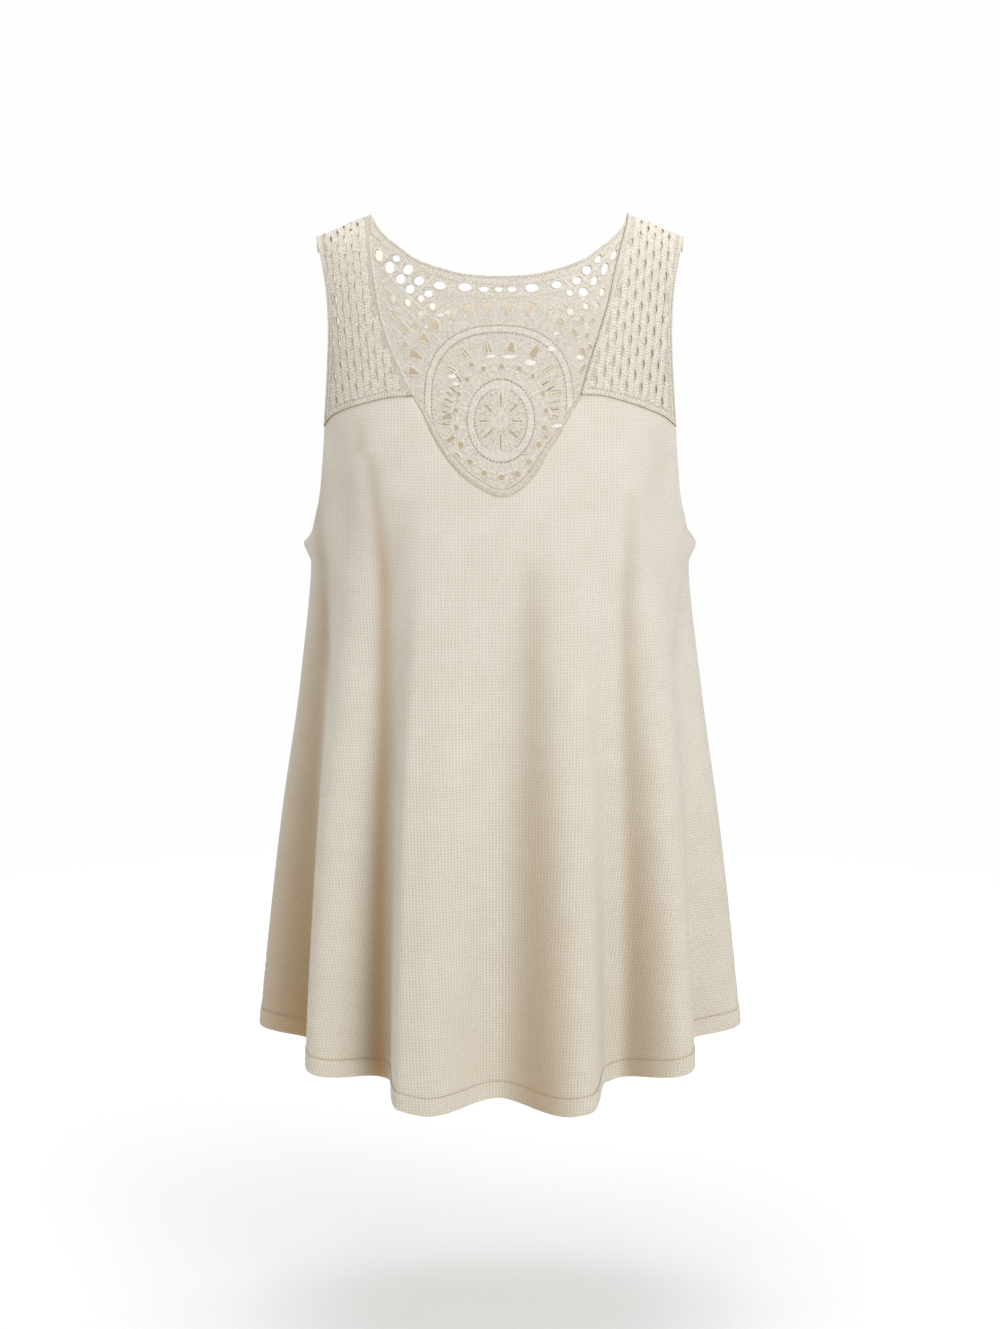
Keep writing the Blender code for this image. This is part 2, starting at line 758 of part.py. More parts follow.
SHOULDER_STEPS = (0.4, 0.7)  # points of a panel's sides, as shares of the way to its shoulder seam
SHOULDER_ROWS = (-0.4, 0.0, 0.4)  # rows of points along the ridge, in the same shares
SHOULDER_COLUMNS = 7


def past_ridge(x, distance):
    """Rows of x and height this far behind the shoulder's ridge, along the cloth."""
    return np.stack([x, ridge_height(yoke_angle(x)) + distance], -1)


def shoulder_outline(v_edge, yoke_seam):
    """Outline of the right shoulder panel in x and height, for positive v_edge and yoke_seam."""
    half_gap = SEAM_GAP / 2
    seam = lowered(pattern_edge(yoke_seam, EDGE_SPACING), -half_gap)
    high_armhole = [point for point in ARMHOLE_FRONT if point.z >= yoke_seam[-1].z]
    armhole = pattern_edge(high_armhole, EDGE_SPACING)[::-1]
    inner = inset_line(pattern_edge(v_edge, EDGE_SPACING), half_gap)
    end = SHOULDER_SEAM - half_gap
    steps = np.array(SHOULDER_STEPS) * end
    outer_side = past_ridge(np.full(len(steps), SHOULDER_OUTER), steps)
    back = past_ridge(np.linspace(SHOULDER_OUTER, inner[0, 0], SHOULDER_POINTS), end)
    inner_side = past_ridge(np.full(len(steps), inner[0, 0]), steps[::-1])
    return chain(seam[:-1], armhole, outer_side, back, inner_side, inner[:-1])


def lace_panel(name, outline, holes, guides, free_points, relief):
    """A crochet panel from its pattern in x and height: cut through at its holes, raised by relief."""
    clear = free_points[inside(free_points, outline)]
    clear = clear[clearance(clear, outline) > CLEAR_OF_EDGE]
    for hole in holes:
        clear = clear[~inside(clear, hole) & (clearance(clear, hole) > CLEAR_OF_EDGE / 2)]
    flat, faces = triangulate(outline, holes, guides, clear)
    outer, normals = cloth_and_normal(yoke_angle(flat[:, 0]), flat[:, 1])
    inner = outer - normals * WALL
    outer = outer + normals * relief(flat)[:, None]
    return wall_mesh(name, outer, inner, faces)


def flat_relief(flat):
    """No relief."""
    return np.zeros(len(flat))


def shoulder_rows():
    """Rows of points along the ridge of both shoulders, where the cloth bends most."""
    x = np.linspace(SHOULDER_INNER, SHOULDER_OUTER, SHOULDER_COLUMNS)
    rows = np.concatenate([past_ridge(x, share * SHOULDER_SEAM) for share in SHOULDER_ROWS])
    return np.concatenate([rows, rows * np.array([-1, 1])])


def add_shoulder_panels(collection):
    """The two crochet panels that run over the shoulders."""
    right = shoulder_outline(V_EDGE_RIGHT, YOKE_SEAM_RIGHT)
    left = shoulder_outline(mirrored(V_EDGE_LEFT), mirrored(YOKE_SEAM_LEFT))
    mirror = np.array([-1, 1])
    for side, outline, lattice in (("right", right, LATTICE_RIGHT), ("left", left, LATTICE_LEFT)):
        holes = eyelets(outline, lattice)
        if side == "left":
            outline = outline[::-1] * mirror
            holes = [hole[::-1] * mirror for hole in holes]
        name = f"shoulder_panel_{side}"
        mesh = lace_panel(name, outline, holes, [], shoulder_rows(), flat_relief)
        add_object(name, mesh, CROCHET_COLOUR, collection)


class Ring(NamedTuple):
    """A raised double ring of the medallion, by its outer line."""

    x: float
    z: float
    half_width: float
    half_height: float
    squareness: float
    band: float
    points: int


OUTER_RING = Ring(-0.0010, -0.1470, 0.0611, 0.0607, 2.4, 0.0062, 36)
OVAL_RING = Ring(0.0006, -0.1625, 0.0278, 0.0334, 2.0, 0.0066, 24)
MIDDLE_POINTS = 10  # of the circle of points within the oval
RING_RISE = 0.0012
RING_SLOPE = 0.2  # share of a ring's band over which it rises
RING_LINES = (0.0, RING_SLOPE, 1 - RING_SLOPE, 1.0)


def ring_line(ring, inward, count):
    """A closed line that runs this far inside a ring's outer line."""
    turn = np.linspace(0, 2 * math.pi, count, endpoint=False)
    power = 2 / ring.squareness
    across = np.sign(np.cos(turn)) * np.abs(np.cos(turn)) ** power * (ring.half_width - inward)
    up = np.sign(np.sin(turn)) * np.abs(np.sin(turn)) ** power * (ring.half_height - inward)
    return np.stack([ring.x + across, ring.z + up], -1)


def ring_radius(ring, flat):
    """1 on a ring's outer line, less inside it."""
    across = np.abs(flat[:, 0] - ring.x) / ring.half_width
    up = np.abs(flat[:, 1] - ring.z) / ring.half_height
    return (across**ring.squareness + up**ring.squareness) ** (1 / ring.squareness)


def ring_relief(flat):
    """How far the two rings stand out of the medallion."""
    rise = np.zeros(len(flat))
    for ring in (OUTER_RING, OVAL_RING):
        inward = (1 - ring_radius(ring, flat)) * ring.half_width
        half = ring.band / 2
        part = (half - np.abs(inward - half)) / (ring.band * RING_SLOPE)
        rise = np.maximum(rise, np.clip(part, 0, 1))
    return RING_RISE * rise


INSET_SPACING = 0.0077
HOLE_MARGIN = 0.0012  # least crochet left between two holes, or a hole and an edge
HOLE_SIDES = 6


def oval(x, z, width, height, tilt):
    """A six-sided oval hole."""
    turn = np.linspace(0, 2 * math.pi, HOLE_SIDES, endpoint=False)
    across = np.cos(turn) * width / 2
    up = np.sin(turn) * height / 2
    cos, sin = math.cos(tilt), math.sin(tilt)
    return np.stack([x + across * cos - up * sin, z + across * sin + up * cos], -1)


def ovals(*rows):
    """Oval holes from rows of x, z, width and height in millimetres, and a tilt in degrees."""
    return [oval(x / 1000, z / 1000, w / 1000, h / 1000, math.radians(tilt)) for x, z, w, h, tilt in rows]


def ray_holes(*rows):
    """Four-sided holes that point to the outer ring's middle.

    Each row has the hole's x, z, length, inner width and outer width, in millimetres.
    """
    holes = []
    centre = np.array([OUTER_RING.x, OUTER_RING.z])
    for row in rows:
        x, z, length, inner_width, outer_width = np.array(row) / 1000
        middle = np.array([x, z])
        ray = (middle - centre) / np.linalg.norm(middle - centre)
        across = np.array([ray[1], -ray[0]])
        corners = (
            (-inner_width / 2, -length / 2),
            (inner_width / 2, -length / 2),
            (outer_width / 2, length / 2),
            (-outer_width / 2, length / 2),
        )
        holes.append(np.array([middle + across * side + ray * out for side, out in corners]))
    return holes


NECK_EYELETS = ovals(
    (-49.5, -54.6, 10.3, 7.0, -8), (-28.6, -55.8, 11.5, 7.0, -4), (-13.1, -57.5, 8.6, 4.9, 0),
    (-0.9, -57.5, 6.6, 4.5, 0), (9.8, -57.5, 7.4, 4.9, 0), (26.2, -56.3, 11.5, 7.0, 3),
    (46.7, -54.1, 8.7, 6.2, 8),
)
LEFT_NET = ovals(
    (-100.4, -31.9, 6.4, 9.8, 20), (-91.0, -40.9, 7.9, 10.4, 20), (-82.0, -50.0, 7.9, 8.7, 20),
    (-74.0, -57.9, 7.4, 7.8, 20), (-64.9, -65.1, 4.8, 6.2, 20), (-85.7, -33.8, 7.1, 5.4, -35),
    (-75.6, -42.3, 8.7, 8.7, 0), (-66.4, -51.1, 8.7, 7.8, 0), (-58.6, -61.3, 7.4, 6.2, -10),
    (-88.2, -65.8, 4.5, 7.0, 20), (-75.6, -68.8, 4.5, 7.0, 20), (-55.3, -71.5, 4.8, 5.8, 20),
    (-65.0, -78.1, 4.5, 6.6, 20), (-53.9, -86.0, 7.8, 10.3, 35), (-86.6, -79.0, 4.2, 6.6, 15),
    (-77.7, -102.7, 4.5, 5.7, 10), (-69.5, -88.5, 4.2, 6.2, 10), (-77.0, -90.5, 4.2, 6.2, 12),
)
RIGHT_NET = ovals(
    (93.9, -31.4, 4.2, 9.0, -30), (80.7, -34.5, 4.6, 7.5, -45), (86.3, -42.4, 5.4, 10.4, -25),
    (71.5, -42.8, 8.3, 7.4, 20), (77.4, -51.4, 5.2, 8.6, -30), (63.1, -51.0, 7.8, 6.6, 20),
    (84.0, -60.8, 4.3, 6.6, -20), (68.4, -60.1, 7.8, 7.4, 0), (57.2, -60.4, 5.6, 5.4, 10),
    (70.4, -71.6, 4.4, 5.2, 0), (79.3, -71.8, 4.2, 5.8, -20), (58.1, -75.9, 5.8, 6.2, 0),
    (49.0, -83.9, 6.6, 6.6, 0), (66.7, -82.8, 4.0, 5.2, 20), (75.4, -83.9, 4.0, 5.4, -20),
    (60.4, -92.8, 4.2, 7.8, 28), (70.7, -95.4, 4.2, 5.2, 0), (73.3, -104.5, 4.0, 5.2, 0),
    (67.6, -108.3, 4.2, 8.4, 25), (67.8, -121.2, 4.2, 8.4, -32),
)
FANS = ray_holes(
    (-69.8, -124.4, 9.5, 1.2, 7.2),
    (-68.2, -111.3, 11.5, 1.2, 8.2),
    (-60.8, -98.0, 9.0, 1.2, 7.6),
    (-40.4, -77.6, 9.0, 1.2, 8.4),
    (-25.5, -73.9, 9.8, 1.2, 8.6),
    (-9.3, -72.6, 9.8, 1.2, 9.6),
    (7.9, -72.4, 9.8, 1.2, 9.6),
    (25.0, -73.0, 9.8, 1.2, 9.0),
    (38.4, -77.6, 9.4, 1.2, 5.0),
)
RAYS = ray_holes(
    (-10.2, -103.7, 9.8, 5.6, 3.2),
    (9.1, -104.1, 7.6, 7.4, 3.4),
    (28.2, -107.7, 9.6, 6.4, 4.6),
    (-29.5, -108.1, 9.6, 4.8, 3.4),
    (39.6, -121.3, 8.4, 4.6, 3.4),
    (-40.6, -121.9, 8.4, 4.6, 3.2),
    (-43.4, -159.6, 8.4, 5.4, 3.6),
    (-40.3, -177.2, 8.0, 4.4, 3.4),
    (46.1, -139.7, 8.4, 4.6, 3.2),
    (44.6, -160.0, 6.4, 4.6, 3.6),
    (37.2, -175.4, 4.4, 4.6, 3.4),
)
DOTS = ovals(
    (-23.5, -117.9, 4.5, 4.5, 0), (-13.6, -121.2, 4.1, 4.5, 0), (1.0, -119.4, 4.5, 4.7, 0),
    (15.5, -120.8, 4.3, 4.5, 0), (26.7, -127.3, 4.0, 4.7, 0), (-27.0, -129.6, 4.4, 4.1, 0),
    (-33.8, -141.1, 4.0, 4.3, 0), (-36.3, -154.2, 3.9, 4.3, 0), (-35.7, -167.9, 4.0, 4.9, 0),
    (-32.2, -182.0, 4.7, 6.3, 0), (-24.5, -195.4, 5.0, 5.0, 0), (-13.0, -204.3, 5.3, 5.0, 0),
    (1.0, -207.6, 6.1, 5.1, 0), (14.1, -205.1, 5.7, 5.3, 0), (23.4, -195.2, 4.8, 5.0, 0),
    (31.4, -181.7, 4.4, 6.0, 0), (35.9, -168.2, 4.1, 5.0, 0), (37.4, -154.7, 4.1, 5.0, 0),
    (34.7, -140.9, 4.1, 4.9, 0), (-7.3, -212.5, 7.4, 1.9, -24), (8.2, -211.9, 6.6, 1.9, 24),
    (-34.6, -189.6, 6.1, 2.1, -48),
)


def inset_outline():
    """Outline of the medallion's inset: neckline, V edges, and the notch clear of its rolled edge."""
    half_gap = SEAM_GAP / 2
    neck_half = pattern_edge(NECKLINE, INSET_SPACING)
    neck = np.concatenate([neck_half[::-1], (neck_half * np.array([-1, 1]))[1:]])
    right = inset_line(pattern_edge(V_EDGE_RIGHT, INSET_SPACING), -half_gap)
    left = inset_line(pattern_edge(V_EDGE_LEFT, INSET_SPACING), half_gap)
    right = right[right[:, 1] < neck_half[-1, 1]]
    left = left[left[:, 1] < neck_half[-1, 1]]
    notch = beside_roll(1)
    return chain(neck, left[:-1], notch[1:-1], right[:-1][::-1])


def pattern_loop(loop):
    """A loop seen from the front, in x and height along the cloth."""
    return np.stack([loop[:, 0], height_along(loop[:, 0], loop[:, 1])], -1)


def front_view(flat):
    """Pattern points of the inset turned back to x and z as seen from the front."""
    return cloth(yoke_angle(flat[:, 0]), flat[:, 1])[:, [0, 2]]


def fits(hole, outline, others, margin):
    """Whether a hole lies whole within the outline and clear of the other holes."""
    if not inside(hole, outline).all() or clearance(hole, outline).min() < margin:
        return False
    for other in others:
        if inside(hole, other).any() or inside(other, hole).any():
            return False
        if min(clearance(hole, other).min(), clearance(other, hole).min()) < margin:
            return False
    return True


def inset_holes(outline):
    """All the holes of the inset, each where it fits."""
    holes = []
    for hole in (*NECK_EYELETS, *LEFT_NET, *RIGHT_NET, *FANS, *RAYS, *DOTS):
        placed = pattern_loop(hole)
        if fits(placed, outline, holes, HOLE_MARGIN):
            holes.append(placed)
    return holes


def inset_relief(flat):
    """How far the inset's outer face stands out, at its pattern points."""
    return ring_relief(front_view(flat))


def add_inset(collection):
    """The crochet inset with its round medallion, cut through and with its rings raised."""
    outline = inset_outline()
    holes = inset_holes(outline)
    guides = []
    for ring in (OUTER_RING, OVAL_RING):
        for share in RING_LINES:
            guides.append(pattern_loop(ring_line(ring, ring.band * share, ring.points)))
    middle = pattern_loop(ring_line(OVAL_RING, OVAL_RING.band * 2, MIDDLE_POINTS))
    name = "medallion_inset"
    mesh = lace_panel(name, outline, holes, guides, middle, inset_relief)
    return add_object(name, mesh, CROCHET_COLOUR, collection)


def add_notch_roll(collection):
    """The rolled edge of the notch, a soft cord of cloth between the body and the inset."""
    line = notch_line()
    radii = roll_radius(len(line))
    outer, normals = cloth_and_normal(yoke_angle(line[:, 0]), line[:, 1])
    middles = (outer - normals * ROLL_SINK)[1:-1]
    curve = bpy.data.curves.new("notch_roll", "CURVE")
    curve.dimensions = "3D"
    curve.bevel_depth = 1.0
    curve.bevel_resolution = 2
    curve.use_fill_caps = True
    spline = curve.splines.new("POLY")
    spline.points.add(len(middles) - 1)
    for point, place, radius in zip(spline.points, middles, radii[1:-1], strict=True):
        point.co = (*place, 1)
        point.radius = radius
    return add_object("notch_roll", curve, ROLL_COLOUR, collection)


def main():
    """Builds the top."""
    for thing in list(bpy.data.objects):
        bpy.data.objects.remove(thing, do_unlink=True)
    collection = bpy.data.collections.new("crochet_top")
    bpy.context.scene.collection.children.link(collection)
    add_front_body(collection)
    add_back_body(collection)
    add_shoulder_panels(collection)
    add_inset(collection)
    add_notch_roll(collection)


main()
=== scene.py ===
"""The looks of a sleeveless swing top in waffle knit with a crochet yoke, worn and hollow.

Metres, +Z up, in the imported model's frame: the origin lies midway between the two high shoulder
points, and the front faces -Y. Every piece lies on one form, the surface of the worn cloth. A place
on it has an angle round the body, 0 at the centre front and positive towards +X, and a height. Below
CHEST_LINE a height is plain z, and above it the height runs along the cloth, over the shoulder.
"""

import logging
import math
from collections.abc import Callable, Iterable
from dataclasses import dataclass, field
from enum import Enum
from itertools import product

import bpy
import numpy as np
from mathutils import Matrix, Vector, geometry


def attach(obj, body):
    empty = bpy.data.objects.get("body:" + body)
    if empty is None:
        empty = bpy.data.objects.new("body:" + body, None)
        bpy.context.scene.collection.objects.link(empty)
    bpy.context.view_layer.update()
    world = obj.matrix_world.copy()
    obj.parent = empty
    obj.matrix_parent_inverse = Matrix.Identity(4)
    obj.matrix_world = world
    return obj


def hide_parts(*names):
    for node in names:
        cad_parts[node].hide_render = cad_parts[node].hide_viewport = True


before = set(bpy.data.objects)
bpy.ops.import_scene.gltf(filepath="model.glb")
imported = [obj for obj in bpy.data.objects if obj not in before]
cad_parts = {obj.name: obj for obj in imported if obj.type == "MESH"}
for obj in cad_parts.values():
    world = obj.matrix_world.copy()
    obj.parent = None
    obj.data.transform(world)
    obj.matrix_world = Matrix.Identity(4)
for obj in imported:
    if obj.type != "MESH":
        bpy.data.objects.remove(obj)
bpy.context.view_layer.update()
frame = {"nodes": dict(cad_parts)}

LOG = logging.getLogger("crochet_top")
MM = 0.001
WALL = 1.6 * MM
HEM_WALL = 2.8 * MM
HEM_TURN = 15.5 * MM
SEAM_GAP = 0.3 * MM
HEM_LOW = -0.741
UNDERARM = -0.279
CHEST_LINE = -0.15
YOKE_HALF_WIDTH = 0.163
SHOULDER_INNER = 0.107
SHOULDER_OUTER = 0.155
SHOULDER_SEAM = 0.020
SIDE_SEAM_AT_HEM = 78.0
TINY = 1e-12
ALMOST_ONE = 0.9999
MIRROR = np.array([-1, 1])

Points = np.ndarray
Mapping = Callable[[Points], tuple[Points, Points]]


@dataclass(frozen=True)
class Section:
    """One level section through the body of the top."""

    z: float
    half_width: float
    front_depth: float
    back_depth: float


SECTIONS = (
    Section(-0.750, 0.2070, 0.143, 0.136),
    Section(-0.700, 0.2040, 0.142, 0.134),
    Section(-0.600, 0.1955, 0.140, 0.128),
    Section(-0.500, 0.1850, 0.137, 0.120),
    Section(-0.400, 0.1715, 0.133, 0.112),
    Section(-0.300, 0.1625, 0.130, 0.106),
    Section(-0.250, YOKE_HALF_WIDTH, 0.126, 0.100),
    Section(-0.170, YOKE_HALF_WIDTH, 0.113, 0.092),
    Section(-0.100, YOKE_HALF_WIDTH, 0.095, 0.088),
    Section(-0.050, YOKE_HALF_WIDTH, 0.085, 0.084),
    Section(0.050, YOKE_HALF_WIDTH, 0.080, 0.080),
)


@dataclass(frozen=True)
class Fold:
    """One soft ridge or, with a negative height, one valley that deepens from its start to the hem.

    A valley's shade is how dark it grows near the hem, and its turn how far its darkest line lies
    round from its lowest one, in degrees. Left and right are how wide its shade is on either side.
    Over 1, a lap makes the cloth between this fold and the next drop as a steep step, at its place.
    Under 1, settle makes the fold swing round to its lower place soon after its start.
    """

    angle_at_start: float
    angle_at_hem: float
    start: float
    height: float
    shade: float = 0.0
    turn: float = 0.0
    left: float = 1.0
    right: float = 1.0
    lap: float = 1.0
    lap_place: float = 0.5
    settle: float = 1.0

    def down(self, z: Points, lead: float = 0.0) -> Points:
        """Share of the way from the fold's start, or this far above it, down to the hem."""
        return np.clip((self.start + lead - z) / (self.start + lead - HEM_LOW), 0, 1)

    def angle(self, z: Points) -> Points:
        """Where the fold runs round the body at each height, in degrees."""
        swing = self.angle_at_hem - self.angle_at_start
        return self.angle_at_start + swing * self.down(z) ** self.settle


FOLDS = (
    Fold(-169, -169, -0.30, 0.020),
    Fold(-156, -156, -0.26, -0.024, 0.6),
    Fold(-142, -142, -0.28, 0.022),
    Fold(-127, -126, -0.26, -0.026, 0.7),
    Fold(-112, -110, -0.28, 0.018),
    Fold(-97, -93, -0.30, -0.014, 0.4),
    Fold(-81, -77, -0.28, 0.013),
    Fold(-67, -62, -0.24, -0.026, 0.85, turn=-2.5),
    Fold(-53, -48, -0.24, 0.015),
    Fold(-43, -32, -0.19, -0.033, 0.85, turn=-1.6, left=0.5, lap=1.8, lap_place=0.36, settle=0.25),
    Fold(-20, -18, -0.22, 0.024),
    Fold(0, -1, -0.30, -0.016, 0.62, turn=9.5, left=1.1, right=2.0),
    Fold(20, 17, -0.26, 0.024, lap=1.8),
    Fold(36, 32, -0.25, -0.031, 0.62, turn=5, left=0.45, right=1.3),
    Fold(53, 48, -0.28, 0.015),
    Fold(68, 62, -0.28, -0.025),
    Fold(82, 77, -0.30, 0.013),
    Fold(98, 94, -0.30, -0.014, 0.3),
    Fold(113, 111, -0.28, 0.018),
    Fold(129, 128, -0.26, -0.025, 0.6),
    Fold(144, 143, -0.28, 0.022),
    Fold(158, 157, -0.26, -0.023, 0.6),
    Fold(170, 170, -0.30, 0.020),
    Fold(180, 180, -0.28, -0.016, 0.4),
)


@dataclass(frozen=True)
class HemPoint:
    """Height of the hem's edge at an angle from the centre front, in degrees, alike on both sides."""

    angle: float
    z: float


HEM = (
    HemPoint(0, -0.7375),
    HemPoint(17, HEM_LOW),
    HemPoint(30, -0.7310),
    HemPoint(45, -0.7210),
    HemPoint(61, -0.7090),
    HemPoint(77, -0.7010),
    HemPoint(92, -0.7010),
    HemPoint(111, -0.7100),
    HemPoint(143, -0.7300),
    HemPoint(180, -0.7400),
)


@dataclass(frozen=True)
class EdgePoint:
    """A point of an edge as it is seen from the front: across, and up."""

    x: float
    z: float


def edge(*pairs: tuple[float, float]) -> tuple[EdgePoint, ...]:
    """An edge from its points, each given across and up in millimetres."""
    return tuple(EdgePoint(x * MM, z * MM) for x, z in pairs)


NECKLINE = edge(
    (0, -47.2), (17.6, -46.5), (30.7, -45.2), (43.9, -42.2), (57.2, -38.5), (70.5, -33.2),
    (84, -24.1), (91, -19.4), (98.3, -13), (103, -7.6), (105.8, -3),
)
V_EDGE_RIGHT = edge(
    (107.4, 0), (105.2, -8), (101, -21), (94.4, -44.3), (88.9, -68.3), (81.3, -92.8), (74.6, -113),
    (66, -142),
)
V_EDGE_LEFT = edge(
    (-109, 0), (-106.9, -28.8), (-103, -54), (-98.1, -78.5), (-86.8, -110.9), (-70.3, -143.2),
)
NOTCH = edge(
    (-70.3, -143.2), (-62, -156), (-53, -173.5), (-40.8, -191.8), (-27.9, -205.4), (-15.3, -214),
    (-5.5, -219), (1, -220.3), (8.7, -218.7), (18, -212.8), (27.5, -202.5), (35.5, -189),
    (45.5, -174.8), (53, -162.2), (66, -142),
)
YOKE_SEAM_RIGHT = edge(
    (66, -142), (80.6, -142.6), (101.7, -148.1), (123.1, -156.4), (136.2, -163.3), (147, -172.8),
)
YOKE_SEAM_LEFT = edge(
    (-70.3, -143.2), (-91.1, -144.9), (-112.3, -150.6), (-129.7, -157.2), (-140, -163.5),
    (-147, -172.8),
)
ARMHOLE_FRONT = edge(
    (154.8, -20.1), (152.8, -26), (150, -37), (145.7, -58), (143.2, -86), (143, -102), (143.6, -119),
    (145, -145), (147, -172.8), (149.2, -203), (153, -237), (157.5, -254), (161.2, -269),
    (163, UNDERARM / MM),
)
ARMHOLE_BACK = edge(
    (154.8, -20.5), (150, -45), (145, -80), (143, -120), (144, -160), (148, -205), (154.5, -242),
    (160.5, -267), (163, UNDERARM / MM),
)
NECKLINE_BACK = edge((0, -79), (35, -80), (58, -81.5), (78, -76), (92, -58), (101, -38), (106, -18))


@dataclass(frozen=True)
class Crease:
    """A short soft ridge or trough that runs between two places of the cloth, in degrees and metres."""

    angle: float
    z: float
    end_angle: float
    end_z: float
    width: float
    height: float


CREASES = (
    Crease(-76, -0.285, -58, -0.400, 0.016, -0.0022),
    Crease(-70, -0.270, -48, -0.345, 0.013, -0.0014),
    Crease(-82, -0.300, -72, -0.460, 0.014, 0.0016),
    Crease(78, -0.290, 62, -0.390, 0.015, -0.0018),
    Crease(72, -0.275, 55, -0.335, 0.012, -0.0011),
    Crease(84, -0.305, 76, -0.480, 0.015, 0.0015),
    Crease(-58, -0.165, -50, -0.290, 0.020, -0.0032),
    Crease(-33, -0.215, -37, -0.330, 0.014, -0.0020),
    Crease(56, -0.170, 52, -0.270, 0.018, -0.0020),
    Crease(12, -0.235, 9, -0.420, 0.016, -0.0010),
    Crease(106, -0.285, 124, -0.400, 0.015, -0.0020),
    Crease(-106, -0.290, -122, -0.390, 0.015, -0.0019),
    Crease(140, -0.170, 150, -0.330, 0.018, -0.0018),
    Crease(-143, -0.175, -149, -0.320, 0.018, -0.0018),
    Crease(176, -0.150, 184, -0.380, 0.020, -0.0014),
)


def smooth(place: Points | float, places: Iterable[float], values: Iterable[float]) -> Points:
    """The value at each place of a smooth curve.

    Args:
        place: Where the curve is read.
        places: Where its values are given, in any order.
        values: The values there.

    Returns:
        The curve's values at place.
    """
    places = np.asarray(list(places), float)
    values = np.asarray(list(values), float)
    order = np.argsort(places)
    places, values = places[order], values[order]
    slopes = np.gradient(values, places)
    low = np.clip(np.searchsorted(places, place) - 1, 0, len(places) - 2)
    step = places[low + 1] - places[low]
    part = np.clip((place - places[low]) / step, 0, 1)
    rest = 1 - part
    start = rest**2 * ((1 + 2 * part) * values[low] + part * step * slopes[low])
    end = part**2 * ((3 - 2 * part) * values[low + 1] - rest * step * slopes[low + 1])
    return start + end


def column(rows: Iterable[object], name: str) -> list[float]:
    """One named column of a table."""
    return [getattr(row, name) for row in rows]


def unit(rows: Points) -> Points:
    """The same directions, each of length 1."""
    return rows / np.maximum(np.linalg.norm(rows, axis=-1, keepdims=True), TINY)


def half_turn(angle: Points) -> Points:
    """The same angles, brought between minus and plus half a turn."""
    return np.mod(angle + math.pi, 2 * math.pi) - math.pi


def yoke_angle(x: Points) -> Points:
    """The angle of a place this far across the yoke."""
    return np.arcsin(np.clip(np.asarray(x, float) / YOKE_HALF_WIDTH, -1, 1))


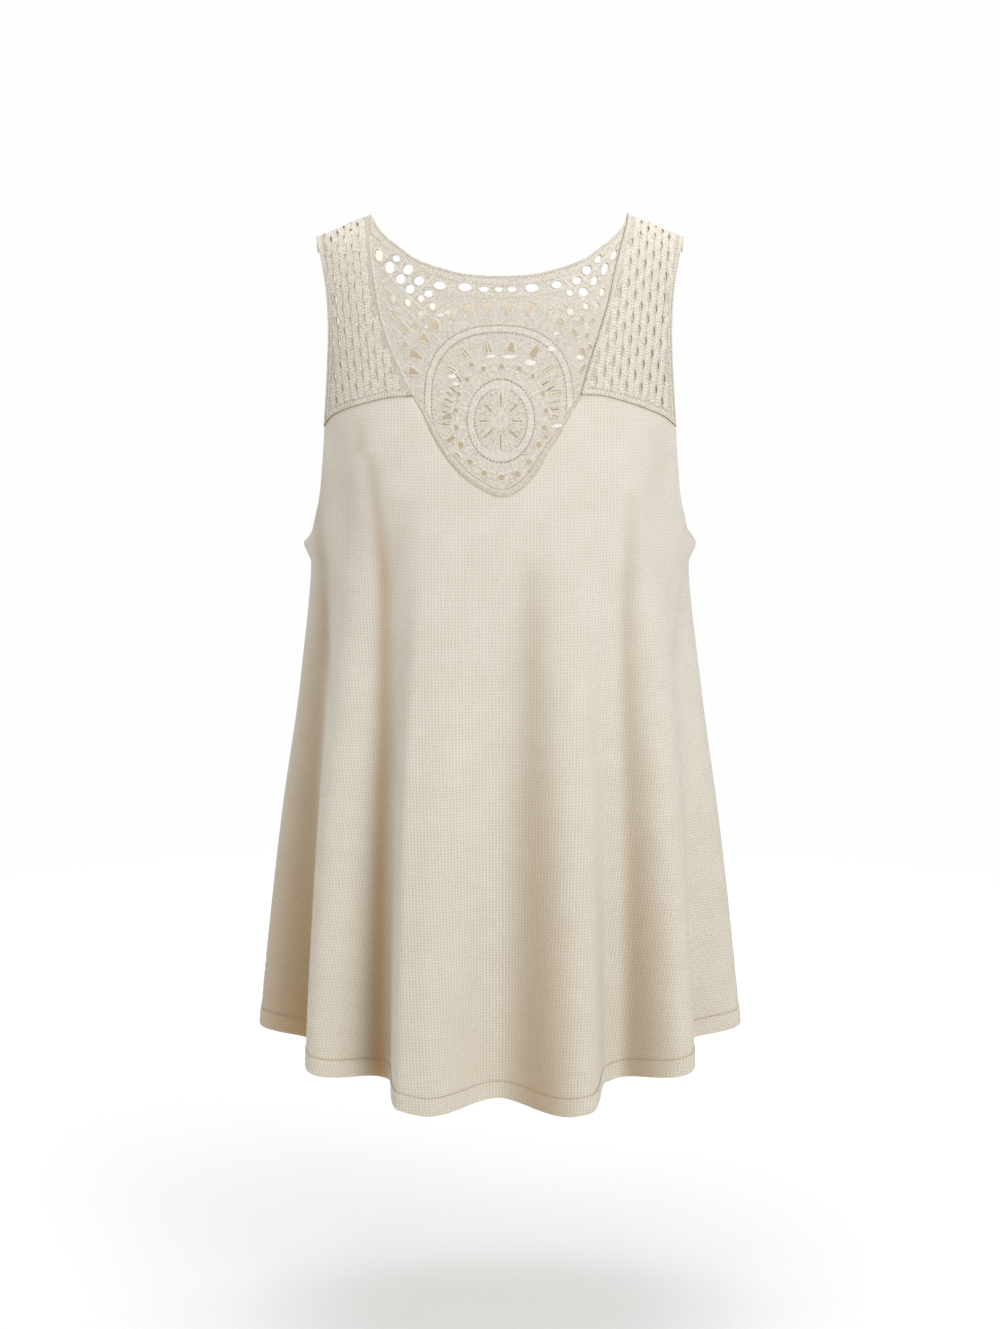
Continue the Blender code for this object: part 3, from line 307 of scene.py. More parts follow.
@dataclass(frozen=True)
class Form:
    """The surface of the worn cloth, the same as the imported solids' outer faces.

    Angles are in radians round the body. The two numbers of a valley's shade are its width at the
    valley's start, in degrees, and how much wider it is at the hem.
    """

    boxiness: float = 0.25
    crown_drop: float = 0.12
    shoulder_drop: float = 0.020
    neck_rise: float = 0.030
    fold_growth: float = 1.2
    lap_start: float = -0.22
    lap_run: float = 0.2
    underarm_point: float = 0.0065
    underarm_width: float = 0.20
    underarm_drop: float = 0.017
    arch_steps: int = 65
    step: float = 2e-4
    shade_lead: float = 0.03
    shade_growth: float = 0.4
    shade_right: tuple[float, float] = (2.2, 2.6)
    shade_left: tuple[float, float] = (3.4, 4.2)
    hem_shade: float = 0.16
    hem_shade_start: float = -0.43
    hem_shade_run: float = 0.3
    grain_turns: int = 361
    grain_levels: int = 100

    def shoulder_line(self, x: Points) -> Points:
        """Height of the shoulder's ridge this far from the middle."""
        across = np.abs(x)
        slope = self.shoulder_drop / (SHOULDER_OUTER - SHOULDER_INNER)
        outside = -slope * (across - SHOULDER_INNER)
        inside_neck = self.neck_rise * (1 - (across / SHOULDER_INNER) ** 2)
        return np.where(across > SHOULDER_INNER, outside, inside_neck)

    def crown(self, drop: Points) -> Points:
        """Share of a section's depth at this drop below the shoulder line."""
        return np.sqrt(1 - (1 - np.clip(drop / self.crown_drop, 0, 1)) ** 2)

    def plain_section(self, angle: Points, z: Points) -> tuple[Points, Points]:
        """The unfolded cloth at this angle and height: across, and from front to back."""
        heights = column(SECTIONS, "z")
        half_width = smooth(z, heights, column(SECTIONS, "half_width"))
        front = smooth(z, heights, column(SECTIONS, "front_depth"))
        back = smooth(z, heights, column(SECTIONS, "back_depth"))
        depth = np.where(np.cos(angle) > 0, front, back)
        x = half_width * np.sin(angle)
        y = -depth * np.cos(angle) * (1 + self.boxiness * np.sin(angle) ** 2)
        return x, y * self.crown(self.shoulder_line(x) - z)

    def hem_height(self, angle: Points) -> Points:
        """Height of the hem's edge at this angle."""
        from_front = np.degrees(np.arccos(np.cos(angle)))
        return smooth(from_front, column(HEM, "angle"), column(HEM, "z"))

    def fold_wave(self, angle: Points, z: Points) -> Points:
        """How far the folds push the cloth out at this angle and height."""
        angles = [np.radians(fold.angle(z)) for fold in FOLDS]
        heights = [fold.height * fold.down(z) ** self.fold_growth for fold in FOLDS]
        lapped = np.clip((self.lap_start - z) / self.lap_run, 0, 1)
        pushed = np.zeros_like(angle)
        for here, fold in enumerate(FOLDS):
            following = (here + 1) % len(FOLDS)
            width = np.mod(angles[following] - angles[here], 2 * math.pi)
            part = np.mod(angle - angles[here], 2 * math.pi) / width
            steep = 1 + (fold.lap - 1) * lapped
            middle = 0.5 + (fold.lap_place - 0.5) * lapped
            part = np.where(part < 1, np.clip((part - middle) * steep + 0.5, 0, ALMOST_ONE), part)
            blend = (1 - np.cos(math.pi * np.clip(part, 0, 1))) / 2
            value = heights[here] + (heights[following] - heights[here]) * blend
            pushed = np.where(part < 1, value, pushed)
        return pushed

    def creases(self, angle: Points, z: Points) -> Points:
        """How far the small creases push the cloth out at this angle and height."""
        pushed = np.zeros_like(angle)
        for crease in CREASES:
            start = np.array([math.radians(crease.angle) * YOKE_HALF_WIDTH, crease.z])
            run = np.array([math.radians(crease.end_angle) * YOKE_HALF_WIDTH, crease.end_z]) - start
            across = half_turn(angle - math.radians(crease.angle)) * YOKE_HALF_WIDTH
            down = z - start[1]
            part = (across * run[0] + down * run[1]) / (run @ run)
            off = (across * run[1] - down * run[0]) / math.sqrt(run @ run) / crease.width
            taper = np.clip(1 - np.abs(part - 0.5) * 2, 0, 1)
            pushed += crease.height * np.exp(-(off**2)) * taper * (2 - taper)
        return pushed

    def underarm_push(self, angle: Points, z: Points) -> Points:
        """How far the end of the side seam stands out under the arm."""
        off_side = (math.pi / 2 - np.abs(angle)) / self.underarm_width
        down = np.clip(1 - np.abs(z - UNDERARM) / self.underarm_drop, 0, 1)
        return self.underarm_point * np.exp(-(off_side**2)) * down**2 * (3 - 2 * down)

    def body_point(self, angle: Points, z: Points) -> Points:
        """The folded cloth at these angles and heights, as rows of x, y, z."""
        x, y = self.plain_section(angle, z)
        ahead_x, ahead_y = self.plain_section(angle + self.step / 2, z)
        along = unit(np.stack([ahead_x - x, ahead_y - y], -1))
        push = self.fold_wave(angle, z) + self.underarm_push(angle, z) + self.creases(angle, z)
        return np.stack([x + along[:, 1] * push, y - along[:, 0] * push, z], -1)

    def arch(self, angle: Points) -> tuple[Points, Points, Points]:
        """From the ridge down to CHEST_LINE at each angle: heights, depths and lengths along."""
        ridge = self.shoulder_line(YOKE_HALF_WIDTH * np.sin(angle))
        share = 1 - np.cos(np.linspace(0, math.pi / 2, self.arch_steps))
        z = ridge[:, None] + (CHEST_LINE - ridge[:, None]) * share
        y = self.plain_section(np.broadcast_to(angle[:, None], z.shape), z)[1]
        steps = np.hypot(np.diff(z, axis=1), np.diff(y, axis=1))
        return z, y, np.concatenate([np.zeros((len(angle), 1)), np.cumsum(steps, axis=1)], axis=1)

    def on_arch(self, angle: Points, distance: Points) -> Points:
        """The points this far from the ridge, measured along the cloth."""
        z, y, along = self.arch(angle)
        row = np.arange(len(angle))
        low = np.clip((along < distance[:, None]).sum(axis=1) - 1, 0, along.shape[1] - 2)
        part = (distance - along[row, low]) / (along[row, low + 1] - along[row, low])
        depth = y[row, low] + (y[row, low + 1] - y[row, low]) * part
        height = z[row, low] + (z[row, low + 1] - z[row, low]) * part
        return np.stack([YOKE_HALF_WIDTH * np.sin(angle), depth, height], -1)

    def ridge_height(self, angle: Points) -> Points:
        """Height along the cloth of the shoulder's ridge, above each angle."""
        return CHEST_LINE + self.arch(angle)[2][:, -1]

    def cloth(self, angle: Points, height: Points) -> Points:
        """The outer face at these angles and heights along the cloth, as rows of x, y, z."""
        points = self.body_point(angle, np.minimum(height, CHEST_LINE))
        high = height > CHEST_LINE
        if high.any():
            from_ridge = self.ridge_height(angle[high]) - height[high]
            near = self.on_arch(angle[high], np.maximum(from_ridge, 0))
            far = self.on_arch(math.pi - angle[high], np.maximum(-from_ridge, 0))
            points[high] = np.where(from_ridge[:, None] > 0, near, far)
        return points

    def with_normals(
        self, surface: Callable[[Points, Points], Points], angle: Points, height: Points
    ) -> tuple[Points, Points]:
        """Points of a surface at these angles and heights, and which way is out there."""
        across = surface(angle + self.step, height) - surface(angle - self.step, height)
        up = surface(angle, height + self.step / 4) - surface(angle, height - self.step / 4)
        return surface(angle, height), unit(np.cross(across, up))

    def around(self, places: Points) -> tuple[Points, Points]:
        """The cloth at rows of angle and height: its points and outward normals."""
        return self.with_normals(self.cloth, places[:, 0], places[:, 1])

    def yoke(self, places: Points) -> tuple[Points, Points]:
        """The yoke at rows of x and height along the cloth: its points and outward normals."""
        return self.with_normals(self.cloth, yoke_angle(places[:, 0]), places[:, 1])

    def front(self, places: Points) -> tuple[Points, Points]:
        """The front at rows of x and z, as it is seen from the front: its points and normals."""
        return self.with_normals(self.body_point, yoke_angle(places[:, 0]), places[:, 1])

    def height_along(self, x: Points, z: Points, back: bool = False) -> Points:
        """Height along the cloth of the places of the yoke seen at x and z."""
        angle = yoke_angle(x)
        heights, _, along = self.arch(math.pi - angle if back else angle)
        result = z.copy()
        for row in np.flatnonzero(z > CHEST_LINE):
            distance = np.interp(-z[row], -heights[row], along[row])
            result[row] = CHEST_LINE + along[row, -1] - distance
        return result

    def valley_shade(self, places: Points) -> Points:
        """How dark the cloth is for lying deep between two folds.

        A valley's shade fades slowly on its left and ends soon on its right, where one fold laps
        over the next.

        Args:
            places: Rows of angle and height.

        Returns:
            The shade at each place, from 0 to 1.
        """
        angle, z = places[:, 0], places[:, 1]
        dark = np.zeros(len(places))
        for fold in FOLDS:
            down = fold.down(z, self.shade_lead)
            middle = np.radians(fold.angle(z) + fold.turn)
            off = np.degrees(half_turn(angle - middle))
            right = fold.right * (self.shade_right[0] + self.shade_right[1] * down)
            left = fold.left * (self.shade_left[0] + self.shade_left[1] * down)
            width = np.where(off > 0, right, left) / np.maximum(np.abs(np.cos(middle)), 0.5)
            dark = np.maximum(dark, fold.shade * down**self.shade_growth * np.exp(-((off / width) ** 2)))
        low = np.clip((self.hem_shade_start - z) / self.hem_shade_run, 0, 1)
        return np.maximum(dark, self.hem_shade * low)

    def grain(self, places: Points) -> Points:
        """Where the cloth lies on the flat.

        The knit's wales hang from the shoulders, so a place's distance across is the length of
        cloth from the centre front or the centre back round to it, at its own height.

        Args:
            places: Rows of angle and height, all of the front or all of the back.

        Returns:
            Rows of the distance across and the height.
        """
        on_back = np.cos(places[:, 0]).mean() < 0
        turns = np.linspace(0, math.pi, self.grain_turns)
        levels = np.linspace(HEM_LOW - 0.01, CHEST_LINE, self.grain_levels)
        grid_turn, grid_level = np.meshgrid(turns, levels)
        turn = half_turn(places[:, 0])
        level = np.clip((places[:, 1] - levels[0]) / (levels[1] - levels[0]), 0, len(levels) - 1.001)
        step = np.clip(np.abs(turn) / (turns[1] - turns[0]), 0, len(turns) - 1.001)
        row, line = level.astype(int), step.astype(int)
        up, over = level - row, step - line
        across = np.zeros(len(places))
        for side in (1, -1):
            points = self.body_point(side * grid_turn.ravel(), grid_level.ravel())
            steps = np.linalg.norm(np.diff(points.reshape(*grid_turn.shape, 3), axis=1), axis=2)
            length = np.concatenate([np.zeros((len(levels), 1)), np.cumsum(steps, axis=1)], axis=1)
            if on_back:
                length = length - length[:, -1:]
            below = length[row, line] * (1 - over) + length[row, line + 1] * over
            above = length[row + 1, line] * (1 - over) + length[row + 1, line + 1] * over
            across = np.where(turn * side >= 0, side * (below * (1 - up) + above * up), across)
        return np.stack([across, places[:, 1]], -1)


FORM = Form()


def lengths(line: Points) -> Points:
    """The length along an open line up to each of its points."""
    return np.concatenate([[0], np.cumsum(np.linalg.norm(np.diff(line, axis=0), axis=1))])


def at_lengths(line: Points, length: Points, places: Points) -> Points:
    """An open line's points at these lengths along it, from the length to each of its own points."""
    return np.stack([np.interp(places, length, line[:, i]) for i in (0, 1)], -1)


def even(line: Points, spacing: float) -> Points:
    """An open line's points at an even spacing, on a smooth curve through them."""
    length = lengths(line)
    places = np.linspace(0, length[-1], max(2, round(length[-1] / spacing) + 1))
    return np.stack([smooth(places, length, line[:, i]) for i in (0, 1)], -1)


def seen_edge(points: Iterable[EdgePoint], spacing: float) -> Points:
    """An edge as it is seen from the front, as rows of x and z at an even spacing."""
    return even(np.array([(point.x, point.z) for point in points]), spacing)


def pattern_edge(points: Iterable[EdgePoint], spacing: float, back: bool = False) -> Points:
    """An edge as rows of x and height along the cloth, at an even spacing."""
    x = np.array(column(points, "x"))
    height = FORM.height_along(x, np.array(column(points, "z")), back)
    return even(np.stack([x, height], -1), spacing)


def mirrored(points: Iterable[EdgePoint]) -> tuple[EdgePoint, ...]:
    """The same edge on the other side of the body."""
    return tuple(EdgePoint(-point.x, point.z) for point in points)


def inside(points: Points, loop: Points) -> Points:
    """Which of the points lie within a closed loop."""
    hits = np.zeros(len(points), bool)
    for start, end in zip(loop, np.roll(loop, -1, axis=0), strict=True):
        if start[1] == end[1]:
            continue
        crosses = (start[1] > points[:, 1]) != (end[1] > points[:, 1])
        at = start[0] + (points[:, 1] - start[1]) / (end[1] - start[1]) * (end[0] - start[0])
        hits ^= crosses & (points[:, 0] < at)
    return hits


def clearance(points: Points, loop: Points) -> Points:
    """Distance from each point to the nearest part of a closed loop."""
    nearest = np.full(len(points), np.inf)
    for start, end in zip(loop, np.roll(loop, -1, axis=0), strict=True):
        run = end - start
        part = np.clip((points - start) @ run / max(run @ run, TINY), 0, 1)
        nearest = np.minimum(nearest, np.linalg.norm(points - start - part[:, None] * run, axis=1))
    return nearest


def beside(line: Points, distance: Points | float) -> Points:
    """An open line moved to its left by this distance."""
    along = unit(np.gradient(line, axis=0))
    return line + np.reshape(distance, (-1, 1)) * np.stack([-along[:, 1], along[:, 0]], -1)


def heading(path: Points, closed: bool) -> Points:
    """Which way a line runs on at each of its points, at no set length."""
    if closed:
        return np.roll(path, -1, axis=0) - np.roll(path, 1, axis=0)
    return np.gradient(path, axis=0)


def grown(loop: Points, distance: float) -> Points:
    """A closed loop with each of its points moved this far out from its middle."""
    return loop + unit(loop - loop.mean(axis=0)) * distance


def loop_of(*edges: Points) -> Points:
    """Edges laid end to end as one closed outline, with doubled points dropped."""
    points = np.concatenate(edges)
    return points[np.linalg.norm(points - np.roll(points, -1, axis=0), axis=1) > SEAM_GAP / 2]


def honeycomb(loop: Points, spacing: float) -> Points:
    """Points that fill a loop's box in even staggered rows."""
    low, high = loop.min(axis=0), loop.max(axis=0)
    rows = np.arange(low[1], high[1], spacing * math.sqrt(3) / 2)
    places = np.arange(low[0], high[0] + spacing, spacing)
    across, up = np.meshgrid(places, rows)
    across[1::2] += spacing / 2
    return np.stack([across, up], -1).reshape(-1, 2)


def within(free: Points, outline: Points, edge: float) -> Points:
    """Those of the points that lie in a closed outline, and further than this from its line."""
    free = free[inside(free, outline)]
    return free[clearance(free, outline) > edge]


def clear_of_holes(free: Points, holes: list[Points], rim: float, reach: float) -> Points:
    """Those of the points that lie further than rim from the edges of all holes."""
    for hole in holes:
        near = np.linalg.norm(free - hole.mean(axis=0), axis=1) < reach
        kept = ~inside(free[near], hole) & (clearance(free[near], hole) > rim)
        free = np.concatenate([free[~near], free[near][kept]])
    return free


def triangulate(outline: Points, holes: list[Points], free: Points) -> tuple[Points, Points]:
    """Triangles that fill a flat outline but for its holes.

    Args:
        outline: The piece's closed outline.
        holes: Closed loops that are left open.
        free: Points to use within it.

    Returns:
        The points used, and the triangles as rows of three of them, counterclockwise.
    """
    loops = [outline, *holes]
    points = np.concatenate([*loops, free])
    edges, first = [], 0
    for loop in loops:
        edges += [(first + i, first + (i + 1) % len(loop)) for i in range(len(loop))]
        first += len(loop)
    found = geometry.delaunay_2d_cdt([Vector(p) for p in points.tolist()], edges, [], 0, 1e-7, False)
    flat = np.array([tuple(p) for p in found[0]])
    faces = np.array(found[2])
    middles = flat[faces].mean(axis=1)
    keep = inside(middles, outline)
    for hole in holes:
        low, high = hole.min(axis=0), hole.max(axis=0)
        near = ((middles > low) & (middles < high)).all(axis=1)
        keep[near] &= ~inside(middles[near], hole)
    faces = faces[keep]
    used, back = np.unique(faces, return_inverse=True)
    return flat[used], back.reshape(faces.shape)


def runs(keep: Points, least: int) -> list[slice]:
    """The stretches of a line whose points are all kept, at least this many long."""
    padded = np.concatenate([[False], keep, [False]])
    starts = np.flatnonzero(~padded[:-1] & padded[1:])
    ends = np.flatnonzero(padded[:-1] & ~padded[1:])
    return [slice(a, b) for a, b in zip(starts, ends, strict=True) if b - a >= least]


@dataclass
class Cloth:
    """A growing mesh: points, faces of three or four corners, and what the finishes read from it."""

    points: list[Points] = field(default_factory=list)
    corners: list[Points] = field(default_factory=list)
    sizes: list[Points] = field(default_factory=list)
    places: list[Points] = field(default_factory=list)
    tones: list[Points] = field(default_factory=list)
    count: int = 0

    def add(self, points: Points, faces: Points, places: Points, tone: Points | float) -> int:
        """Adds points and faces.

        Args:
            points: Rows of x, y, z.
            faces: Rows of three or four of these points.
            places: A row of two for every corner of every face, for the UV map.
            tone: How deep in shade a point lies, 0 to 1.

        Returns:
            The number of the first new point.
        """
        first = self.count
        self.points.append(points)
        self.corners.append((faces + first).ravel())
        self.sizes.append(np.full(len(faces), faces.shape[1]))
        self.places.append(places.reshape(-1, 2))
        self.tones.append(np.broadcast_to(tone, len(points)))
        self.count += len(points)
        return first

    def mesh(self, name: str, sharp: float = 60.0) -> bpy.types.Mesh:
        """The finished mesh, shaded smooth but for edges over this many degrees."""
        mesh = bpy.data.meshes.new(name)
        points = np.concatenate(self.points)
        corners = np.concatenate(self.corners)
        sizes = np.concatenate(self.sizes)
        mesh.vertices.add(len(points))
        mesh.vertices.foreach_set("co", points.astype(np.float32).ravel())
        mesh.loops.add(len(corners))
        mesh.loops.foreach_set("vertex_index", corners.astype(np.int32))
        mesh.polygons.add(len(sizes))
        mesh.polygons.foreach_set("loop_start", (np.cumsum(sizes) - sizes).astype(np.int32))
        mesh.update(calc_edges=True)
        layer = mesh.uv_layers.new(name="grain")
        layer.data.foreach_set("uv", np.concatenate(self.places).astype(np.float32).ravel())
        shade = mesh.attributes.new("shade", "FLOAT", "POINT")
        shade.data.foreach_set("value", np.concatenate(self.tones).astype(np.float32))
        mesh.shade_smooth()
        mesh.set_sharp_from_angle(angle=math.radians(sharp))
        mesh.validate()
        return mesh


def add_wall(
    cloth: Cloth,
    flat: Points,
    faces: Points,
    mapping: Mapping,
    wall: Points | float,
    rise: Points | float,
    grain: Points,
    tone: Points | float,
    inside_tone: Points | float = 2.0,
) -> None:
    """Adds a closed wall of cloth over a flat pattern.

    Args:
        cloth: The mesh that it goes into.
        flat: The pattern's points.
        faces: Its triangles.
        mapping: Turns pattern points to points of the form and outward normals.
        wall: The wall's thickness at each point.
        rise: How far the outer face stands out of the form at each point.
        grain: The place of each point on the flat cloth.
        tone: How deep in shade each point of the outer face lies.
        inside_tone: The same for its inner face. On the knit this is 2 and above: a painted shade colour
        and a painted glow, brighter where more light would come through.
    """
    outer, normals = mapping(flat)
    inner = outer - normals * np.reshape(wall, (-1, 1))
    outer = outer + normals * np.reshape(rise, (-1, 1))
    count = len(flat)
    sides = np.concatenate([faces[:, [0, 1]], faces[:, [1, 2]], faces[:, [2, 0]]])
    keys = sides[:, 0] * count + sides[:, 1]
    rim = sides[~np.isin(sides[:, 1] * count + sides[:, 0], keys)]
    walls = np.stack([rim[:, 1], rim[:, 0], rim[:, 0] + count, rim[:, 1] + count], -1)
    both = np.concatenate([outer, inner])
    grains = np.concatenate([grain, grain])
    turned = faces[:, ::-1] + count
    tones = np.concatenate([np.broadcast_to(level, count) for level in (tone, inside_tone)])
    first = cloth.add(both, faces, grains[faces], tones)
    for more in (turned, walls):
        cloth.add(np.empty((0, 3)), more + (first - cloth.count), grains[more], 0.0)


def add_tube(
    cloth: Cloth,
    path: Points,
    up: Points,
    width: Points | float,
    height: Points | float,
    closed: bool = False,
    sides: int = 6,
    tone: Points | float = 0.0,
) -> None:
    """Adds a strand of yarn that follows a path over the cloth.

    Args:
        cloth: The mesh that it goes into.
        path: The strand's middle line.
        up: Which way is out of the cloth at each point.
        width: Half the strand's width at each point, along the cloth.
        height: Half its thickness at each point.
        closed: Whether its end meets its start.
        sides: The number of sides of its section.
        tone: How deep in shade each point lies.
    """
    count = len(path)
    across = unit(np.cross(heading(path, closed), up))
    turn = np.linspace(0, 2 * math.pi, sides, endpoint=False)[None, :, None]
    wide = np.broadcast_to(width, count)[:, None, None] * across[:, None, :] * np.cos(turn)
    tall = np.broadcast_to(height, count)[:, None, None] * up[:, None, :] * np.sin(turn)
    points = (path[:, None, :] + wide + tall).reshape(-1, 3)
    rings = np.arange(count if closed else count - 1)
    side = np.arange(sides)
    ring, side = [grid.ravel() for grid in np.meshgrid(rings, side, indexing="ij")]
    ahead, beyond = (ring + 1) % count, (side + 1) % sides
    faces = np.stack([ring, ahead, ahead, ring], -1) * sides + np.stack([side, side, beyond, beyond], -1)
    length = lengths(path)
    length = np.append(length, length[-1] + np.linalg.norm(path[0] - path[-1]))
    along_uv = np.stack([length[ring], length[ring + 1], length[ring + 1], length[ring]], -1)
    round_uv = np.stack([side, side, side + 1, side + 1], -1) / sides
    tones = np.repeat(np.broadcast_to(tone, count), sides)
    first = cloth.add(points, faces, np.stack([along_uv, round_uv], -1), tones)
    if closed:
        return
    for end, order in ((0, 1), (count - 1, -1)):
        cap = (end * sides + np.arange(sides))[::order]
        fans = np.stack([np.full(sides - 2, cap[0]), cap[1:-1], cap[2:]], -1)
        places = np.full((sides - 2, 3, 2), length[end])
        cloth.add(np.empty((0, 3)), fans + (first - cloth.count), places, 0.0)


def lay_yarn(
    cloth: Cloth,
    line: Points,
    mapping: Mapping,
    width: Points | float,
    height: Points | float,
    lift: float = 0.0,
    closed: bool = False,
    sides: int = 6,
    tone: float = 0.0,
) -> None:
    """Lays a plain strand along a line of the pattern, its middle this far out of the cloth's face."""
    points, normals = mapping(line)
    add_tube(cloth, points + normals * lift, normals, width, height, closed, sides, tone)


@dataclass(frozen=True)
class Stitch:
    """A row of V-shaped chain stitches, as it lies on the cloth: two strands side by side."""

    pitch: float = 2.5 * MM
    width: float = 2.2 * MM
    height: float = 0.7 * MM
    lean: float = 0.16
    swell: float = 0.14
    # Painted shade where the strands dip between stitches.
    dip_shade: float = 0.3
    steps: int = 4
    sides: int = 6

    def lay(
        self, cloth: Cloth, line: Points, mapping: Mapping, lift: float = 0.0, closed: bool = False
    ) -> None:
        """Lays the row along a line of the pattern.

        Args:
            cloth: The mesh that it goes into.
            line: Its middle line on the pattern.
            mapping: Turns pattern points to points of the form and outward normals.
            lift: How far out of the form the row's middle lies.
            closed: Whether its end meets its start.
        """
        ring = np.concatenate([line, line[:1]]) if closed else line
        length = lengths(ring)
        stitches = max(2, round(length[-1] / self.pitch))
        path = at_lengths(ring, length, np.linspace(0, length[-1], stitches * self.steps + 1))
        if closed:
            path = path[:-1]
        points, normals = mapping(path)
        across = unit(np.cross(heading(points, closed), normals))
        saw = np.mod(np.arange(len(path)) / self.steps, 1.0)
        full = np.sin(math.pi * saw)
        for side in (-1, 1):
            off = side * self.width * (0.25 + self.lean * (saw - 0.5))
            middle = points + across * off[:, None] + normals * (lift + self.height * 0.2 * full)[:, None]
            thick = self.width * (0.25 + self.swell * (full - 0.3))
            tall = self.height * (0.75 + 0.25 * full)
            add_tube(cloth, middle, normals, thick, tall, closed, self.sides, self.dip_shade * (1 - full))


Tree = bpy.types.NodeTree
Socket = bpy.types.NodeSocket


def linear(code: str) -> tuple[float, float, float, float]:
    """The linear colour of an sRGB hex code such as #DFD9CB."""
    parts = [int(code[i : i + 2], 16) / 255 for i in (1, 3, 5)]
    return (*[p / 12.92 if p <= 0.04045 else ((p + 0.055) / 1.055) ** 2.4 for p in parts], 1.0)


def set_inputs(node: bpy.types.Node, values: dict[str | int, object]) -> None:
    """Sets a node's inputs to values, by name or number."""
    for name, value in values.items():
        node.inputs[name].default_value = value


def link_inputs(node: bpy.types.Node, links: dict[str | int, Socket]) -> None:
    """Links sockets to a node's inputs, by name or number."""
    for name, socket in links.items():
        node.id_data.links.new(socket, node.inputs[name])


def add_node(
    tree: Tree,
    kind: str,
    settings: dict[str, object] | None = None,
    values: dict[str | int, object] | None = None,
    links: dict[str | int, Socket] | None = None,
) -> bpy.types.Node:
    """Adds a node to a tree.

    Args:
        tree: The node tree.
        kind: The node's type, without the words ShaderNode.
        settings: Its properties.
        values: Its inputs' own values, by name or number.
        links: What comes into its inputs, by name or number.

    Returns:
        The new node.
    """
    node = tree.nodes.new(f"ShaderNode{kind}")
    for name, value in (settings or {}).items():
        setattr(node, name, value)
    set_inputs(node, values or {})
    link_inputs(node, links or {})
    return node


def calculate(
    tree: Tree, operation: str, first: object, second: object = 0.0, third: object = 0.0
) -> Socket:
    """A sum in a node tree, of numbers and sockets."""
    values, links = {}, {}
    for place, item in enumerate((first, second, third)):
        (links if isinstance(item, bpy.types.NodeSocket) else values)[place] = item
    return add_node(tree, "Math", {"operation": operation}, values, links).outputs[0]


def wave(tree: Tree, place: Socket, pitch: float) -> Socket:
    """A value that swings between 0 and 1 once in each pitch, in metres."""
    turned = calculate(tree, "MULTIPLY", place, 2 * math.pi / pitch)
    return calculate(tree, "MULTIPLY_ADD", calculate(tree, "SINE", turned), 0.5, 0.5)


def noise(tree: Tree, place: Socket, size: float, detail: float, roughness: float = 0.5) -> Socket:
    """A cloudy value from 0 to 1, its clouds about this size in metres."""
    values = {"Scale": 1 / size, "Detail": detail, "Roughness": roughness}
    return add_node(tree, "TexNoise", values=values, links={"Vector": place}).outputs[0]


def clamped(tree: Tree, value: Socket) -> Socket:
    """A value kept between 0 and 1."""
    return add_node(tree, "Clamp", links={0: value}).outputs[0]


def ramp(
    tree: Tree, value: Socket, start: float, end: float, low: float, high: float, kind: str = "LINEAR"
) -> Socket:
    """A value that goes from low to high as another goes from start to end."""
    limits = {1: start, 2: end, 3: low, 4: high}
    return add_node(tree, "MapRange", {"interpolation_type": kind}, limits, {0: value}).outputs[0]


def mix(tree: Tree, share: Socket, first: Socket | str, second: Socket | str) -> Socket:
    """A colour between two others, each a socket or a hex code, by a share from 0 to 1."""
    values, links = {}, {0: share}
    for place, item in ((6, first), (7, second)):
        if isinstance(item, str):
            values[place] = linear(item)
        else:
            links[place] = item
    return add_node(tree, "Mix", {"data_type": "RGBA"}, values, links).outputs[2]


def bumps(tree: Tree, height: Socket, strength: float, depth: float) -> Socket:
    """The normals of a surface with this pattern of heights."""
    values = {"Strength": strength, "Distance": depth}
    return add_node(tree, "Bump", values=values, links={"Height": height}).outputs[0]


def shade_of(tree: Tree) -> Socket:
    """How deep in painted shade each point lies, and over 1 on the knit's inner face, how strong its
    painted glow is.
    """
    return add_node(tree, "Attribute", {"attribute_name": "shade"}).outputs["Fac"]


def blank_material(name: str) -> tuple[bpy.types.Material, bpy.types.Node]:
    """A new material, and its Principled shader."""
    material = bpy.data.materials.new(name)
    material.use_nodes = True
    return material, material.node_tree.nodes["Principled BSDF"]


